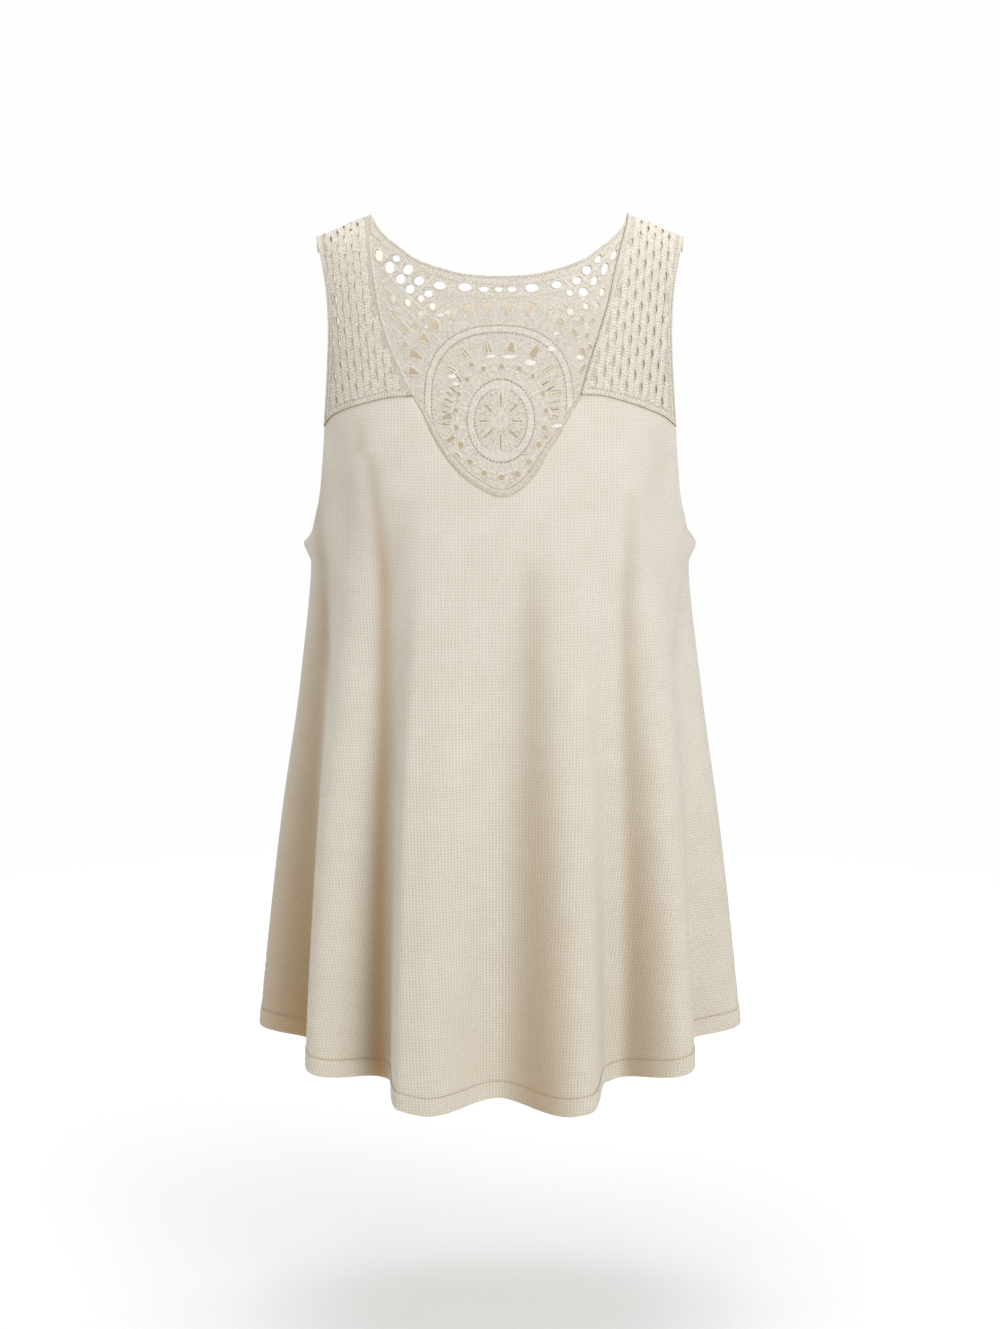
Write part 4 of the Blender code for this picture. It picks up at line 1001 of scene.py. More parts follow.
@dataclass(frozen=True)
class WaffleKnit:
    """Cotton thermal knit: matt and a little hairy, its ribs and courses crossing as small square cells."""

    name: str = "cotton_waffle_knit"
    rib_pitch: float = 2.8 * MM
    rib_weight: float = 0.9
    course_pitch: float = 2.5 * MM
    course_weight: float = 0.84
    cell_edge: float = 1.5
    depth: float = 0.4 * MM
    bump: float = 0.8
    light: str = "#E6E0D3"
    # Painted shade of the cells' hollows; the random cloud also mixes toward it.
    hollow: str = "#CABFAB"
    # Painted shade between deep folds, from half to full.
    half_shade_colour: str = "#AB9675"
    deep_shade_colour: str = "#A27A42"
    # Painted shade and painted glow of the inner face: a darker, warmer copy of the knit's colour, and
    # emission that stands in for light through the thin cloth.
    inside: str = "#CFC0A1"
    painted_glow_colour: str = "#DAD5CA"
    glow: float = 0.25
    faint: float = 0.42
    faint_from: float = -0.55
    faint_to: float = -0.22
    sway: float = 1.7 * MM
    sway_size: float = 6 * MM
    cloud: float = 0.5
    cloud_size: float = 30 * MM
    fuzz: float = 0.3
    fuzz_size: float = 0.5 * MM
    roughness: float = 0.92
    gleam: float = 0.2
    sheen: float = 0.1
    sheen_roughness: float = 0.5

    def cells(self, tree: Tree, grain: Socket, parts: bpy.types.Node) -> Socket:
        """The pattern's height: ribs and courses, fainter near the yoke, where the cloth hangs taut."""
        sway = noise(tree, grain, self.sway_size, 2.0)
        drift = calculate(tree, "MULTIPLY_ADD", sway, self.sway, -self.sway / 2)
        ribs = wave(tree, calculate(tree, "ADD", parts.outputs[0], drift), self.rib_pitch)
        courses = wave(tree, calculate(tree, "ADD", parts.outputs[1], drift), self.course_pitch)
        ridge = calculate(tree, "MULTIPLY", calculate(tree, "POWER", ribs, self.cell_edge), self.rib_weight)
        sharp = calculate(tree, "POWER", courses, self.cell_edge)
        rung = calculate(tree, "MULTIPLY", sharp, self.course_weight)
        cell = calculate(tree, "MAXIMUM", ridge, rung)
        faint = ramp(tree, parts.outputs[1], self.faint_from, self.faint_to, 0.0, self.faint)
        return calculate(tree, "MULTIPLY_ADD", calculate(tree, "SUBTRACT", 1.0, cell), faint, cell)

    def material(self) -> bpy.types.Material:
        """Builds the finish.

        Cells of the grain map have painted shade in their hollows, and a warmer painted shade lies
        between deep folds. The inner face has a painted shade colour and a painted glow for the light that
        comes through the thin cloth, so it is never black.

        Returns:
            The new material.
        """
        material, shader = blank_material(self.name)
        tree = material.node_tree
        grain = add_node(tree, "UVMap", {"uv_map": "grain"}).outputs[0]
        parts = add_node(tree, "SeparateXYZ", links={0: grain})
        place = add_node(tree, "TexCoord").outputs["Object"]
        cell = self.cells(tree, grain, parts)
        height = calculate(tree, "MULTIPLY_ADD", noise(tree, place, self.fuzz_size, 3.0), self.fuzz, cell)
        cloud = noise(tree, grain, self.cloud_size, 4.0, 0.6)
        uneven = calculate(tree, "MULTIPLY_ADD", cloud, self.cloud, -self.cloud / 2)
        face = mix(tree, clamped(tree, calculate(tree, "ADD", cell, uneven)), self.hollow, self.light)
        shade = shade_of(tree)
        deep = clamped(tree, shade)
        fold_shade_colour = mix(tree, deep, self.half_shade_colour, self.deep_shade_colour)
        colour = mix(tree, deep, face, fold_shade_colour)
        colour = mix(tree, ramp(tree, shade, 1.0, 2.0, 0.0, 1.0), colour, self.inside)
        normal = bumps(tree, height, self.bump, self.depth)
        # Painted glow: emission on the inner face, where the shade attribute is over 1.
        through = calculate(tree, "MAXIMUM", calculate(tree, "SUBTRACT", shade, 1.0), 0.0)
        glow = calculate(tree, "MULTIPLY", through, self.glow)
        link_inputs(shader, {"Base Color": colour, "Normal": normal, "Emission Strength": glow})
        values = {
            "Emission Color": linear(self.painted_glow_colour),
            "Roughness": self.roughness,
            "Specular IOR Level": self.gleam,
            "Sheen Weight": self.sheen,
            "Sheen Roughness": self.sheen_roughness,
        }
        set_inputs(shader, values)
        return material


@dataclass(frozen=True)
class CrochetYarn:
    """Mercerised cotton yarn in two plies: a soft gleam on each strand, and shade between strands."""

    name: str
    light: str
    painted_shade_and_speckle: str
    twist_pitch: float = 1.6 * MM
    depth: float = 0.18 * MM
    bump: float = 0.6
    # How much painted shade the pattern's low places get.
    contrast: float = 0.16
    fuzz: float = 0.8
    fuzz_size: float = 1.7 * MM
    speckle: float = 1.5
    speckle_middle: float = -0.68
    roughness: float = 0.85
    gleam: float = 0.25
    sheen: float = 0.15
    sheen_roughness: float = 0.4

    def twist(self, tree: Tree, parts: bpy.types.Node) -> Socket:
        """The pattern's height: plies that wind round each strand."""
        turned = calculate(tree, "MULTIPLY", parts.outputs[1], self.twist_pitch)
        return wave(tree, calculate(tree, "ADD", parts.outputs[0], turned), self.twist_pitch)

    def material(self) -> bpy.types.Material:
        """Builds the finish: painted shade, warmer and darker, between the strands and by the shade
        attribute, and random specks.
        """
        material, shader = blank_material(self.name)
        tree = material.node_tree
        grain = add_node(tree, "UVMap", {"uv_map": "grain"}).outputs[0]
        parts = add_node(tree, "SeparateXYZ", links={0: grain})
        place = add_node(tree, "TexCoord").outputs["Object"]
        fuzz = noise(tree, place, self.fuzz_size, 3.0, 0.6)
        pattern = self.twist(tree, parts)
        height = calculate(tree, "MULTIPLY_ADD", fuzz, self.fuzz, pattern)
        shade = shade_of(tree)
        speckle = calculate(tree, "MULTIPLY_ADD", fuzz, self.speckle, self.speckle_middle)
        # Painted shade in the pattern's low places, between plies or knots.
        low = calculate(tree, "MULTIPLY_ADD", pattern, -self.contrast, self.contrast / 2)
        depth = clamped(tree, calculate(tree, "ADD", shade, calculate(tree, "ADD", speckle, low)))
        colour = mix(tree, depth, self.light, self.painted_shade_and_speckle)
        normal = bumps(tree, height, self.bump, self.depth)
        link_inputs(shader, {"Base Color": colour, "Normal": normal})
        values = {
            "Roughness": self.roughness,
            "Specular IOR Level": self.gleam,
            "Sheen Weight": self.sheen,
            "Sheen Roughness": self.sheen_roughness,
        }
        set_inputs(shader, values)
        return material


@dataclass(frozen=True)
class CrochetGround(CrochetYarn):
    """The same yarn worked as close crochet: small knots in staggered rows."""

    stitch_pitch: float = 2.3 * MM

    def twist(self, tree: Tree, parts: bpy.types.Node) -> Socket:
        """The pattern's height: one knot for each stitch."""
        across, up = parts.outputs[0], parts.outputs[1]
        rising = wave(tree, calculate(tree, "ADD", across, up), self.stitch_pitch)
        falling = wave(tree, calculate(tree, "SUBTRACT", across, up), self.stitch_pitch)
        return calculate(tree, "MULTIPLY", rising, falling)


@dataclass(frozen=True)
class OpalFloor:
    """White opal light table, brighter and thinner far from the top so that its rim never shows."""

    name: str = "white_opal_floor"
    colour: str = "#F7F9FB"
    lit_from_below: float = 0.035
    lit_at_rim: float = 0.5
    glow_start: float = 0.2
    glow_end: float = 1.4
    solid_radius: float = 0.75
    rim_radius: float = 1.7
    roughness: float = 0.95

    def material(self) -> bpy.types.Material:
        """Builds the finish."""
        material, shader = blank_material(self.name)
        tree = material.node_tree
        place = add_node(tree, "TexCoord").outputs["Object"]
        flat = add_node(tree, "VectorMath", {"operation": "MULTIPLY"}, {1: (1, 1, 0)}, {0: place})
        far = add_node(tree, "VectorMath", {"operation": "LENGTH"}, links={0: flat.outputs[0]})
        far = far.outputs["Value"]
        fade = ramp(tree, far, self.solid_radius, self.rim_radius, 1.0, 0.0, "SMOOTHSTEP")
        glow = ramp(tree, far, self.glow_start, self.glow_end, self.lit_from_below, self.lit_at_rim)
        link_inputs(shader, {"Alpha": fade, "Emission Strength": glow})
        values = {
            "Base Color": linear(self.colour),
            "Emission Color": linear(self.colour),
            "Roughness": self.roughness,
            "Specular IOR Level": 0.0,
        }
        set_inputs(shader, values)
        return material


class Finish(Enum):
    """The finishes of the top."""

    KNIT = WaffleKnit()
    GROUND = CrochetGround("close_cotton_crochet", "#F3EEE4", "#A89779", depth=0.8 * MM, contrast=0.65)
    CROCHET = CrochetYarn("cotton_crochet_yarn", "#EEE8DC", "#A3916D")
    ROLL = CrochetYarn("rolled_knit_edge", "#DFD9CD", "#A2906F")
    # Dark thread: real stitching on the hem, and at the yoke seams and the right inset edge partly a
    # painted shade line.
    SEAM = CrochetYarn("sunk_seam_thread", "#B7A589", "#8A7250")
    # Pale knots, whiter than the rest of the yarn.
    PICOT = CrochetYarn("pale_cotton_knot", "#FAF7F0", "#DCD2BE")


MATERIALS: dict[Finish, bpy.types.Material] = {}


def finished(finish: Finish) -> bpy.types.Material:
    """The material of a finish, built at its first use."""
    if finish not in MATERIALS:
        MATERIALS[finish] = finish.value.material()
    return MATERIALS[finish]


def add_piece(
    name: str, cloth: Cloth, finish: Finish, replaces: str | None = None
) -> bpy.types.Object:
    """Makes a piece of the top, which rides on its one body.

    Args:
        name: The piece's name.
        cloth: Its mesh.
        finish: Its finish.
        replaces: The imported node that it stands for, if any.

    Returns:
        The new object.
    """
    piece = bpy.data.objects.new(name, cloth.mesh(name))
    bpy.context.scene.collection.objects.link(piece)
    piece.data.materials.append(finished(finish))
    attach(piece, "root")
    if replaces:
        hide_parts(replaces)
    LOG.info("%s: %d faces", name, len(piece.data.polygons))
    return piece


@dataclass
class BodyPanel:
    """The front or the back of the body: waffle knit, with a turned-up hem.

    A tone is how deep in painted shade a place lies, and on the inner face how strong its painted glow is,
    which stands for light that comes through.
    """

    name: str
    node: str
    back: bool
    flat: tuple[float, float]
    area: float
    spacing: float = 4.2 * MM
    scale: float = 0.17
    slack: float = 1.3
    edge_spacing: float = 3.5 * MM
    edge_clear: float = 0.9 * MM
    edge_drop: float = 0.5 * MM
    edge_width: float = 1.6 * MM
    shoulder_points: int = 14
    hem_rise: float = 0.5 * MM
    hem_step: float = 0.8 * MM
    groove_depth: float = 0.35 * MM
    groove_width: float = 0.8
    stitch_pitch: float = 3.1 * MM
    stitch_half: float = 1.0 * MM
    stitch_height: float = 0.3 * MM
    stitch_lift: float = 0.2
    stitch_widths: tuple[float, ...] = (0.2, 0.4, 0.4, 0.2)
    crease_depth: float = 4 * MM
    crease_tone: float = 0.18
    groove_tone: float = 0.2
    seam_tone: float = 0.42
    seam_width: float = 1.4 * MM
    deepest_tone: float = 0.95
    # Painted glow of the inner face: its base tone, and how much brighter it is high up and near the neck's
    # edges.
    inside_tone: float = 2
    lit_high: float = 0.8
    lit_beside_neck: float = 3.4
    lit_below_neck: float = 0.9
    lit_width: float = 16 * MM
    neck_half: float = 45 * MM

    def side_seam(self) -> Points:
        """The right side seam from the hem up to the underarm, as rows of angle and height."""
        turn = math.radians(SIDE_SEAM_AT_HEM)
        low = FORM.hem_height(np.array([turn]))[0]
        part = np.linspace(0, 1, round((UNDERARM - low) / self.edge_spacing))
        gap = SEAM_GAP / 2 / YOKE_HALF_WIDTH * (1 if self.back else -1)
        return np.stack([turn + (math.pi / 2 - turn) * part + gap, low + (UNDERARM - low) * part], -1)

    def hem(self, first: float, last: float) -> Points:
        """The hem's edge between two angles, as rows of angle and height."""
        count = round((last - first) * self.scale * self.slack / self.edge_spacing)
        turns = np.linspace(first, last, count)
        return np.stack([turns, FORM.hem_height(turns)], -1)

    def armhole(self) -> Points:
        """The armhole's edge of this panel from the underarm up, as rows of angle and height."""
        table = ARMHOLE_BACK if self.back else [p for p in ARMHOLE_FRONT if p.z <= YOKE_SEAM_RIGHT[-1].z]
        line = pattern_edge(table, self.edge_spacing, self.back)[::-1]
        turn = yoke_angle(line[:, 0])
        return np.stack([math.pi - turn if self.back else turn, line[:, 1]], -1)

    def shoulder(self) -> Points:
        """The back's shoulder seam from the armhole to the neck, as rows of angle and height."""
        turn = math.pi - yoke_angle(np.linspace(SHOULDER_OUTER, SHOULDER_INNER, self.shoulder_points))
        return np.stack([turn, FORM.ridge_height(turn) - SHOULDER_SEAM - SEAM_GAP / 2], -1)

    def neck(self) -> Points:
        """The back's neckline from the shoulder to the middle, as rows of angle and height."""
        line = pattern_edge(NECKLINE_BACK, self.edge_spacing, back=True)[::-1]
        return np.stack([math.pi - yoke_angle(line[:, 0]), line[:, 1]], -1)

    def back_outline(self) -> Points:
        """The back's closed outline, as rows of angle and height."""
        armhole, shoulder, neck = self.armhole(), self.shoulder(), self.neck()
        armhole = armhole[armhole[:, 1] < shoulder[0, 1] - SEAM_GAP]
        neck = neck[neck[:, 1] < shoulder[-1, 1] - SEAM_GAP]
        hem = self.hem(math.radians(SIDE_SEAM_AT_HEM), math.pi)[1:][::-1]
        near = np.concatenate([hem, self.side_seam(), armhole[1:], shoulder, neck])
        far = (near * MIRROR + np.array([2 * math.pi, 0]))[::-1]
        return loop_of(near, far[1:-1])

    def front_outline(self) -> Points:
        """The front's closed outline, as rows of angle and height."""
        turn = math.radians(SIDE_SEAM_AT_HEM)
        top = [
            beside(pattern_edge(YOKE_SEAM_RIGHT, self.edge_spacing), -SEAM_GAP / 2)[::-1],
            NotchRoll().line(-1)[::-1],
            beside(pattern_edge(YOKE_SEAM_LEFT, self.edge_spacing), SEAM_GAP / 2),
        ]
        top = [np.stack([yoke_angle(line[:, 0]), line[:, 1]], -1) for line in top]
        hem, seam, armhole = self.hem(-turn, turn)[1:-1], self.side_seam(), self.armhole()[1:-1]
        return loop_of(hem, seam, armhole, *top, (armhole * MIRROR)[::-1], (seam * MIRROR)[::-1])

    def hem_rows(self) -> Points:
        """Rows of points on both sides of the hem's stitching, where the wall steps."""
        turns = self.hem(-math.pi, 2 * math.pi)[:, 0]
        rows = [HEM_TURN - 1.2 * MM, HEM_TURN - 0.4 * MM, HEM_TURN + 0.4 * MM, 1.2 * MM]
        return np.concatenate([np.stack([turns, FORM.hem_height(turns) + row], -1) for row in rows])

    def hem_thread(self) -> Cloth:
        """The row of small sunk stitches that holds the turned-up hem."""
        turn = math.radians(SIDE_SEAM_AT_HEM)
        first, last = (turn, 2 * math.pi - turn) if self.back else (-turn, turn)
        turns = np.linspace(first, last, 3000)[20:-20]
        line = np.stack([turns, FORM.hem_height(turns) + HEM_TURN], -1)
        length = lengths(FORM.around(line)[0])
        middles = np.arange(self.stitch_pitch, length[-1] - self.stitch_pitch, self.stitch_pitch)
        count = len(self.stitch_widths)
        spots = (middles[:, None] + np.linspace(-1, 1, count) * self.stitch_half).ravel()
        points, normals = FORM.around(at_lengths(line, length, spots))
        widths = np.array(self.stitch_widths) * MM
        cloth = Cloth()
        for start in range(0, len(spots), count):
            path, up = points[start : start + count], normals[start : start + count]
            add_tube(cloth, path + up * self.stitch_lift * MM, up, widths, self.stitch_height, sides=5)
        return cloth

    def outer_tone(self, places: Points, edge_gap: Points, groove: Points) -> Points:
        """The outer face's tone: painted shade in the valleys, the creases and the hem's groove, and darker
        beside the side seams.
        """
        turn, height = places[:, 0], places[:, 1]
        hollow = np.clip(-FORM.creases(turn, height) / self.crease_depth, 0, 1)
        folded = np.clip(FORM.valley_shade(places) + self.crease_tone * hollow, 0, self.deepest_tone)
        seam = np.clip(1 - edge_gap / self.seam_width, 0, 1) * (height < UNDERARM)
        seam *= height > FORM.hem_height(turn) + 2 * MM
        return np.maximum(np.maximum(folded, self.groove_tone * groove), self.seam_tone * seam)

    def inner_tone(self, places: Points, edge_gap: Points) -> Points:
        """The inner face's tone at each place: a painted glow, brighter up near the neck."""
        height = places[:, 1]
        tone = self.inside_tone + self.lit_high * np.clip((height + 0.13) / 0.06, 0, 1)
        beside_neck = np.abs(YOKE_HALF_WIDTH * np.sin(places[:, 0])) > self.neck_half
        near_edge = np.clip(1 - edge_gap / self.lit_width, 0, 1) * (height > -0.12)
        return tone + np.where(beside_neck, self.lit_beside_neck, self.lit_below_neck) * near_edge

    def build(self) -> None:
        """Builds the panel's wall and the thread of its hem."""
        scale = np.array([self.scale, 1.0])
        outline = (self.back_outline() if self.back else self.front_outline()) * scale
        free = honeycomb(outline, self.spacing)
        hem_top = FORM.hem_height(free[:, 0] / self.scale) + HEM_TURN
        free = np.concatenate([free[np.abs(free[:, 1] - hem_top) > 2 * MM], self.hem_rows() * scale])
        flat, faces = triangulate(outline, [], within(free, outline, self.edge_clear))
        places = flat / scale
        over_hem = (FORM.hem_height(places[:, 0]) + HEM_TURN - places[:, 1]) / self.hem_step
        turned = np.clip(over_hem + 0.5, 0, 1)
        wall = WALL + (HEM_WALL - WALL) * turned
        groove = np.exp(-((over_hem * self.groove_width) ** 2))
        edge_gap = clearance(flat, outline)
        rounded = np.clip(1 - edge_gap / self.edge_width, 0, 1) ** 2
        rise = self.hem_rise * turned - self.edge_drop * rounded - self.groove_depth * groove
        tone, inside_tone = self.outer_tone(places, edge_gap, groove), self.inner_tone(places, edge_gap)
        cloth = Cloth()
        add_wall(cloth, places, faces, FORM.around, wall, rise, FORM.grain(places), tone, inside_tone)
        piece = add_piece(self.name, cloth, Finish.KNIT, self.node)
        thread = add_piece(f"{self.name}_hem_thread", self.hem_thread(), Finish.SEAM)


@dataclass
class NotchRoll:
    """The rolled edge of the body round the bottom of the inset."""

    radii: tuple[float, ...] = (0.0010, 0.0022, 0.0026, 0.0026, 0.0024, 0.0016, 0.0009)
    thin_places: tuple[float, ...] = (0, 0.15, 0.5, 0.62, 0.8, 1)
    thin_shares: tuple[float, ...] = (0.6, 0.85, 0.8, 0.5, 0.3, 0.3)
    sink: float = 0.6 * MM
    spacing: float = 1.5 * MM
    rib: float = 0.05
    rib_turn: float = 2.2

    def radius(self, count: int) -> Points:
        """Radius of the roll at each of so many points of the notch."""
        places = np.linspace(0, len(self.radii) - 1, count)
        return smooth(places, range(len(self.radii)), self.radii)

    def clear_of(self, line: Points, direction: int) -> Points:
        """The notch's line clear of the roll, below it at -1, above it at 1 and along it at 0."""
        return beside(line, direction * (self.radius(len(line)) + 2 * SEAM_GAP))

    def line(self, direction: int) -> Points:
        """The same line on the cloth, as rows of x and height along it."""
        line = seen_edge(NOTCH, self.spacing)
        line[:, 1] = FORM.height_along(line[:, 0], line[:, 1])
        return self.clear_of(line, direction)

    def build(self) -> None:
        """Builds the roll, a soft tube of knit with fine ribs across it."""
        line = self.line(0)
        radius = self.radius(len(line))
        points, normals = FORM.yoke(line)
        thin = smooth(np.linspace(0, 1, len(line)), self.thin_places, self.thin_shares)
        ribs = 1 + self.rib * np.sin(np.arange(len(line)) * self.rib_turn)
        width, height = (radius + 0.15 * MM) * ribs, radius * thin * ribs * 0.8
        cloth = Cloth()
        add_tube(cloth, points - normals * self.sink, normals, width, height, sides=14, tone=0.2)
        add_piece("rolled_edge", cloth, Finish.ROLL, "notch_roll")


class Side(Enum):
    """A side of the top, as it is seen from the front."""

    LEFT = -1
    RIGHT = 1


@dataclass
class ShoulderPanel:
    """A crochet panel of slim staggered eyelets that runs over the shoulder.

    It is drawn as the right-hand one. Its eyelets stand in columns that lean in towards the waist,
    and in rows that drop outwards with the shoulder.
    """

    side: Side
    origin: tuple[float, float]
    pitch: float
    row: float
    lean: float
    tilt: float
    eyelet_lean: float
    flat: tuple[float, float]
    area: float
    eyelet_width: float = 2.5 * MM
    eyelet_length: float = 8.2 * MM
    margin: float = 2.8 * MM
    middle_margin: float = 6.6 * MM
    rope_margin: float = 5.0 * MM
    spacing: float = 1.7 * MM
    edge_clear: float = 0.7 * MM
    rim_clear: float = 0.6 * MM
    wobble: float = 0.22 * MM
    swing: float = 0.26
    border_start: float = -130.5 * MM
    rise: float = -0.15 * MM
    tone: float = 0.22
    # Painted shade on the inner face and on the walls of the holes.
    inside_tone: float = 0.5
    yarn: Cloth = field(default_factory=Cloth)
    thread: Cloth = field(default_factory=Cloth)

    def __post_init__(self) -> None:
        """Works out the panel's outline, as if it were the right one."""
        v_edge = V_EDGE_RIGHT if self.side is Side.RIGHT else mirrored(V_EDGE_LEFT)
        yoke_seam = YOKE_SEAM_RIGHT if self.side is Side.RIGHT else mirrored(YOKE_SEAM_LEFT)
        half_gap = SEAM_GAP / 2
        seam = beside(pattern_edge(yoke_seam, self.spacing), half_gap)
        armhole = pattern_edge([p for p in ARMHOLE_FRONT if p.z >= yoke_seam[-1].z], self.spacing)[::-1]
        inner = beside(pattern_edge(v_edge, self.spacing), half_gap)
        end = SHOULDER_SEAM - half_gap
        shares = np.linspace(0, 1, 10)[1:-1] * end
        outer_side = self.over(np.full(8, SHOULDER_OUTER), shares)
        inner_side = self.over(np.full(8, inner[0, 0]), shares[::-1])
        back = self.over(np.linspace(SHOULDER_OUTER, inner[0, 0], 26), np.full(26, end))
        self.loop = loop_of(seam[:-1], armhole, outer_side, back, inner_side, inner[:-1])
        self.seam, self.inner = seam, inner
        self.holes = self.eyelets()
        self.flip = np.array([self.side.value, 1, 1])

    def over(self, x: Points, distance: Points) -> Points:
        """Rows of x and height this far behind the shoulder's ridge."""
        return np.stack([x, FORM.ridge_height(yoke_angle(x)) + distance], -1)

    def mapping(self, places: Points) -> tuple[Points, Points]:
        """The cloth at rows of x and height, turned to this panel's own side."""
        points, normals = FORM.yoke(places)
        return points * self.flip, normals * self.flip

    def lattice(self, across: Points, up: Points) -> Points:
        """Rows of x and height for places counted along the leaning rows and columns."""
        x = self.origin[0] + across + self.lean * up
        return np.stack([x, self.origin[1] + up - self.tilt * across], -1)

    def eyelets(self) -> list[Points]:
        """The eyelets, each where it fits whole, as slim pointed ovals."""
        turn = np.linspace(0, 2 * math.pi, 14, endpoint=False)
        across = np.sin(turn) * np.abs(np.sin(turn)) ** 0.3 * self.eyelet_width / 2
        up = np.cos(turn) * self.eyelet_length / 2
        shape = np.stack([across + up * self.eyelet_lean, up], -1)
        holes = []
        for row, place in product(range(-12, 14), range(-8, 9)):
            stagger = row % 2 / 2
            hole = shape + self.lattice(np.array((place + stagger) * self.pitch), np.array(row * self.row))
            if not inside(hole, self.loop).all() or clearance(hole, self.loop).min() < self.margin:
                continue
            if clearance(hole.mean(axis=0)[None], self.loop)[0] > self.middle_margin:
                holes.append(hole)
        return holes

    def ropes(self) -> None:
        """Lays the upright cords of stitches, which part round each eyelet and close above it."""
        stitch = Stitch(pitch=2.5 * MM, width=4.2 * MM, height=0.45 * MM)
        up = np.arange(-0.13, 0.15, 1.2 * MM)
        random = np.random.default_rng(7)
        for number in range(-16, 17):
            side = 1 if number % 2 == 0 else -1
            swing = np.cos(math.pi * up / self.row)
            swing = np.sign(swing) * np.abs(swing) ** 0.8
            sway = np.interp(up, up[::7], random.normal(0, self.wobble, len(up[::7])))
            off = side * self.swing * self.eyelet_width * swing
            line = self.lattice((number + 0.5) * self.pitch / 2 + off + sway, up)
            keep = inside(line, self.loop) & (clearance(line, self.loop) > self.rope_margin)
            for run in runs(keep, 5):
                stitch.lay(self.yarn, line[run], self.mapping, lift=-0.1 * MM)

    def rims(self) -> None:
        """Lays a thin strand round every eyelet."""
        for hole in self.holes:
            line = grown(hole, 0.3 * MM)[::-1]
            sizes = (0.45 * MM, 0.5 * MM, 0.1 * MM)
            lay_yarn(self.yarn, line, self.mapping, *sizes, closed=True, sides=5, tone=0.15)

    def borders(self) -> None:
        """Lays rows of stitches along the panel's edges, the outer one a firm round edge."""
        ring = np.concatenate([self.loop, self.loop[:1]])
        kept_off = 4.5 * MM if self.side is Side.LEFT else 0.0
        for inset, width, height in ((0.8, 1.7, 0.75), (2.6, 1.9, 0.35)):
            line = beside(ring, inset * MM)[:-1]
            line = line[clearance(line, self.loop) > inset * 0.85 * MM]
            away = np.linalg.norm(line[:, None] - self.inner[None], axis=2).min(axis=1)
            tied = np.flatnonzero(away < away.min() + 0.001 * MM)
            start = int(tied[np.argmin(np.abs(line[tied, 1] - self.border_start))])
            line, away = np.roll(line, -start, axis=0), np.roll(away, -start)
            for run in runs(away > kept_off, 5):
                Stitch(width=width * MM, height=height * MM).lay(self.yarn, line[run], self.mapping)

    def sunk_seams(self) -> None:
        """Lays the sunk thread of the seams to the body and, on the right, to the inset. Its dark tone is
        partly the seam and partly a painted shade line at the panel's edge.
        """
        lay_yarn(self.thread, self.seam, self.mapping, 0.45 * MM, 0.35 * MM, 0.05 * MM, tone=0.5)
        if self.side is Side.RIGHT:
            lay_yarn(self.thread, self.inner, self.mapping, 0.6 * MM, 0.4 * MM, 0.35 * MM, tone=0.3)

    def joining(self) -> None:
        """Lays the pale stitches that join the left panel to the inset, edge to edge."""
        if self.side is Side.LEFT:
            line = beside(self.inner, -0.15 * MM)[self.inner[:, 1] < -0.004]
            stitch = Stitch(width=1.8 * MM, height=0.35 * MM)
            stitch.lay(self.yarn, line, self.mapping, lift=0.1 * MM)

    def build(self) -> None:
        """Builds the panel: its cut wall, and the stitches and seam threads on it."""
        free = within(honeycomb(self.loop, self.spacing), self.loop, self.edge_clear)
        free = clear_of_holes(free, self.holes, self.rim_clear, self.eyelet_length)
        flat, faces = triangulate(self.loop, self.holes, free)
        if self.side is Side.LEFT:
            faces = faces[:, ::-1]
        side = self.side.name.lower()
        ground = Cloth()
        add_wall(ground, flat, faces, self.mapping, WALL, self.rise, flat, self.tone, self.inside_tone)
        wall = add_piece(f"lace_ground_{side}", ground, Finish.GROUND, f"shoulder_panel_{side}")
        for lay in (self.ropes, self.rims, self.borders, self.joining, self.sunk_seams):
            lay()
        pieces = [
            add_piece(f"lace_stitches_{side}", self.yarn, Finish.CROCHET),
            add_piece(f"seam_thread_{side}", self.thread, Finish.SEAM),
        ]


@dataclass(frozen=True)
class Ring:
    """A raised ring of the medallion, by its outer line."""

    x: float
    z: float
    half_width: float
    half_height: float
    squareness: float
    band: float
    low: float

    def middle(self) -> Points:
        """The middle of the ring."""
        return np.array([self.x, self.z])

    def line(self, inward: float, spacing: float) -> Points:
        """A closed line that runs this far inside the ring's outer line, at an even spacing."""
        turn = np.linspace(0, 2 * math.pi, 721)
        power = 2 / self.squareness
        across = np.sign(np.cos(turn)) * np.abs(np.cos(turn)) ** power * (self.half_width - inward)
        up = np.sign(np.sin(turn)) * np.abs(np.sin(turn)) ** power * (self.half_height - inward)
        line = np.stack([self.x + across, self.z + up], -1)
        length = lengths(line)
        places = np.linspace(0, length[-1], round(length[-1] / spacing), endpoint=False)
        return at_lengths(line, length, places)

    def at(self, degrees: float, outside: float) -> Points:
        """The place this far outside the ring's outer line, at degrees from straight up."""
        turn = math.radians(degrees)
        ray = np.array([math.sin(turn), math.cos(turn)])
        parts = np.abs(ray) / np.array([self.half_width, self.half_height])
        share = (parts**self.squareness).sum() ** (1 / self.squareness)
        return self.middle() + ray * (1 / share + outside)

    def inward(self, places: Points) -> Points:
        """How far each place lies inside the ring's outer line, nearly."""
        across = np.abs(places[:, 0] - self.x) / self.half_width
        up = np.abs(places[:, 1] - self.z) / self.half_height
        share = (across**self.squareness + up**self.squareness) ** (1 / self.squareness)
        return (1 - share) * self.half_width


OUTER_RING = Ring(-0.0010, -0.1470, 0.0611, 0.0607, 2.4, 0.0062, -0.168)
OVAL_RING = Ring(0.0006, -0.1625, 0.0278, 0.0334, 2.0, 0.0066, -1.0)


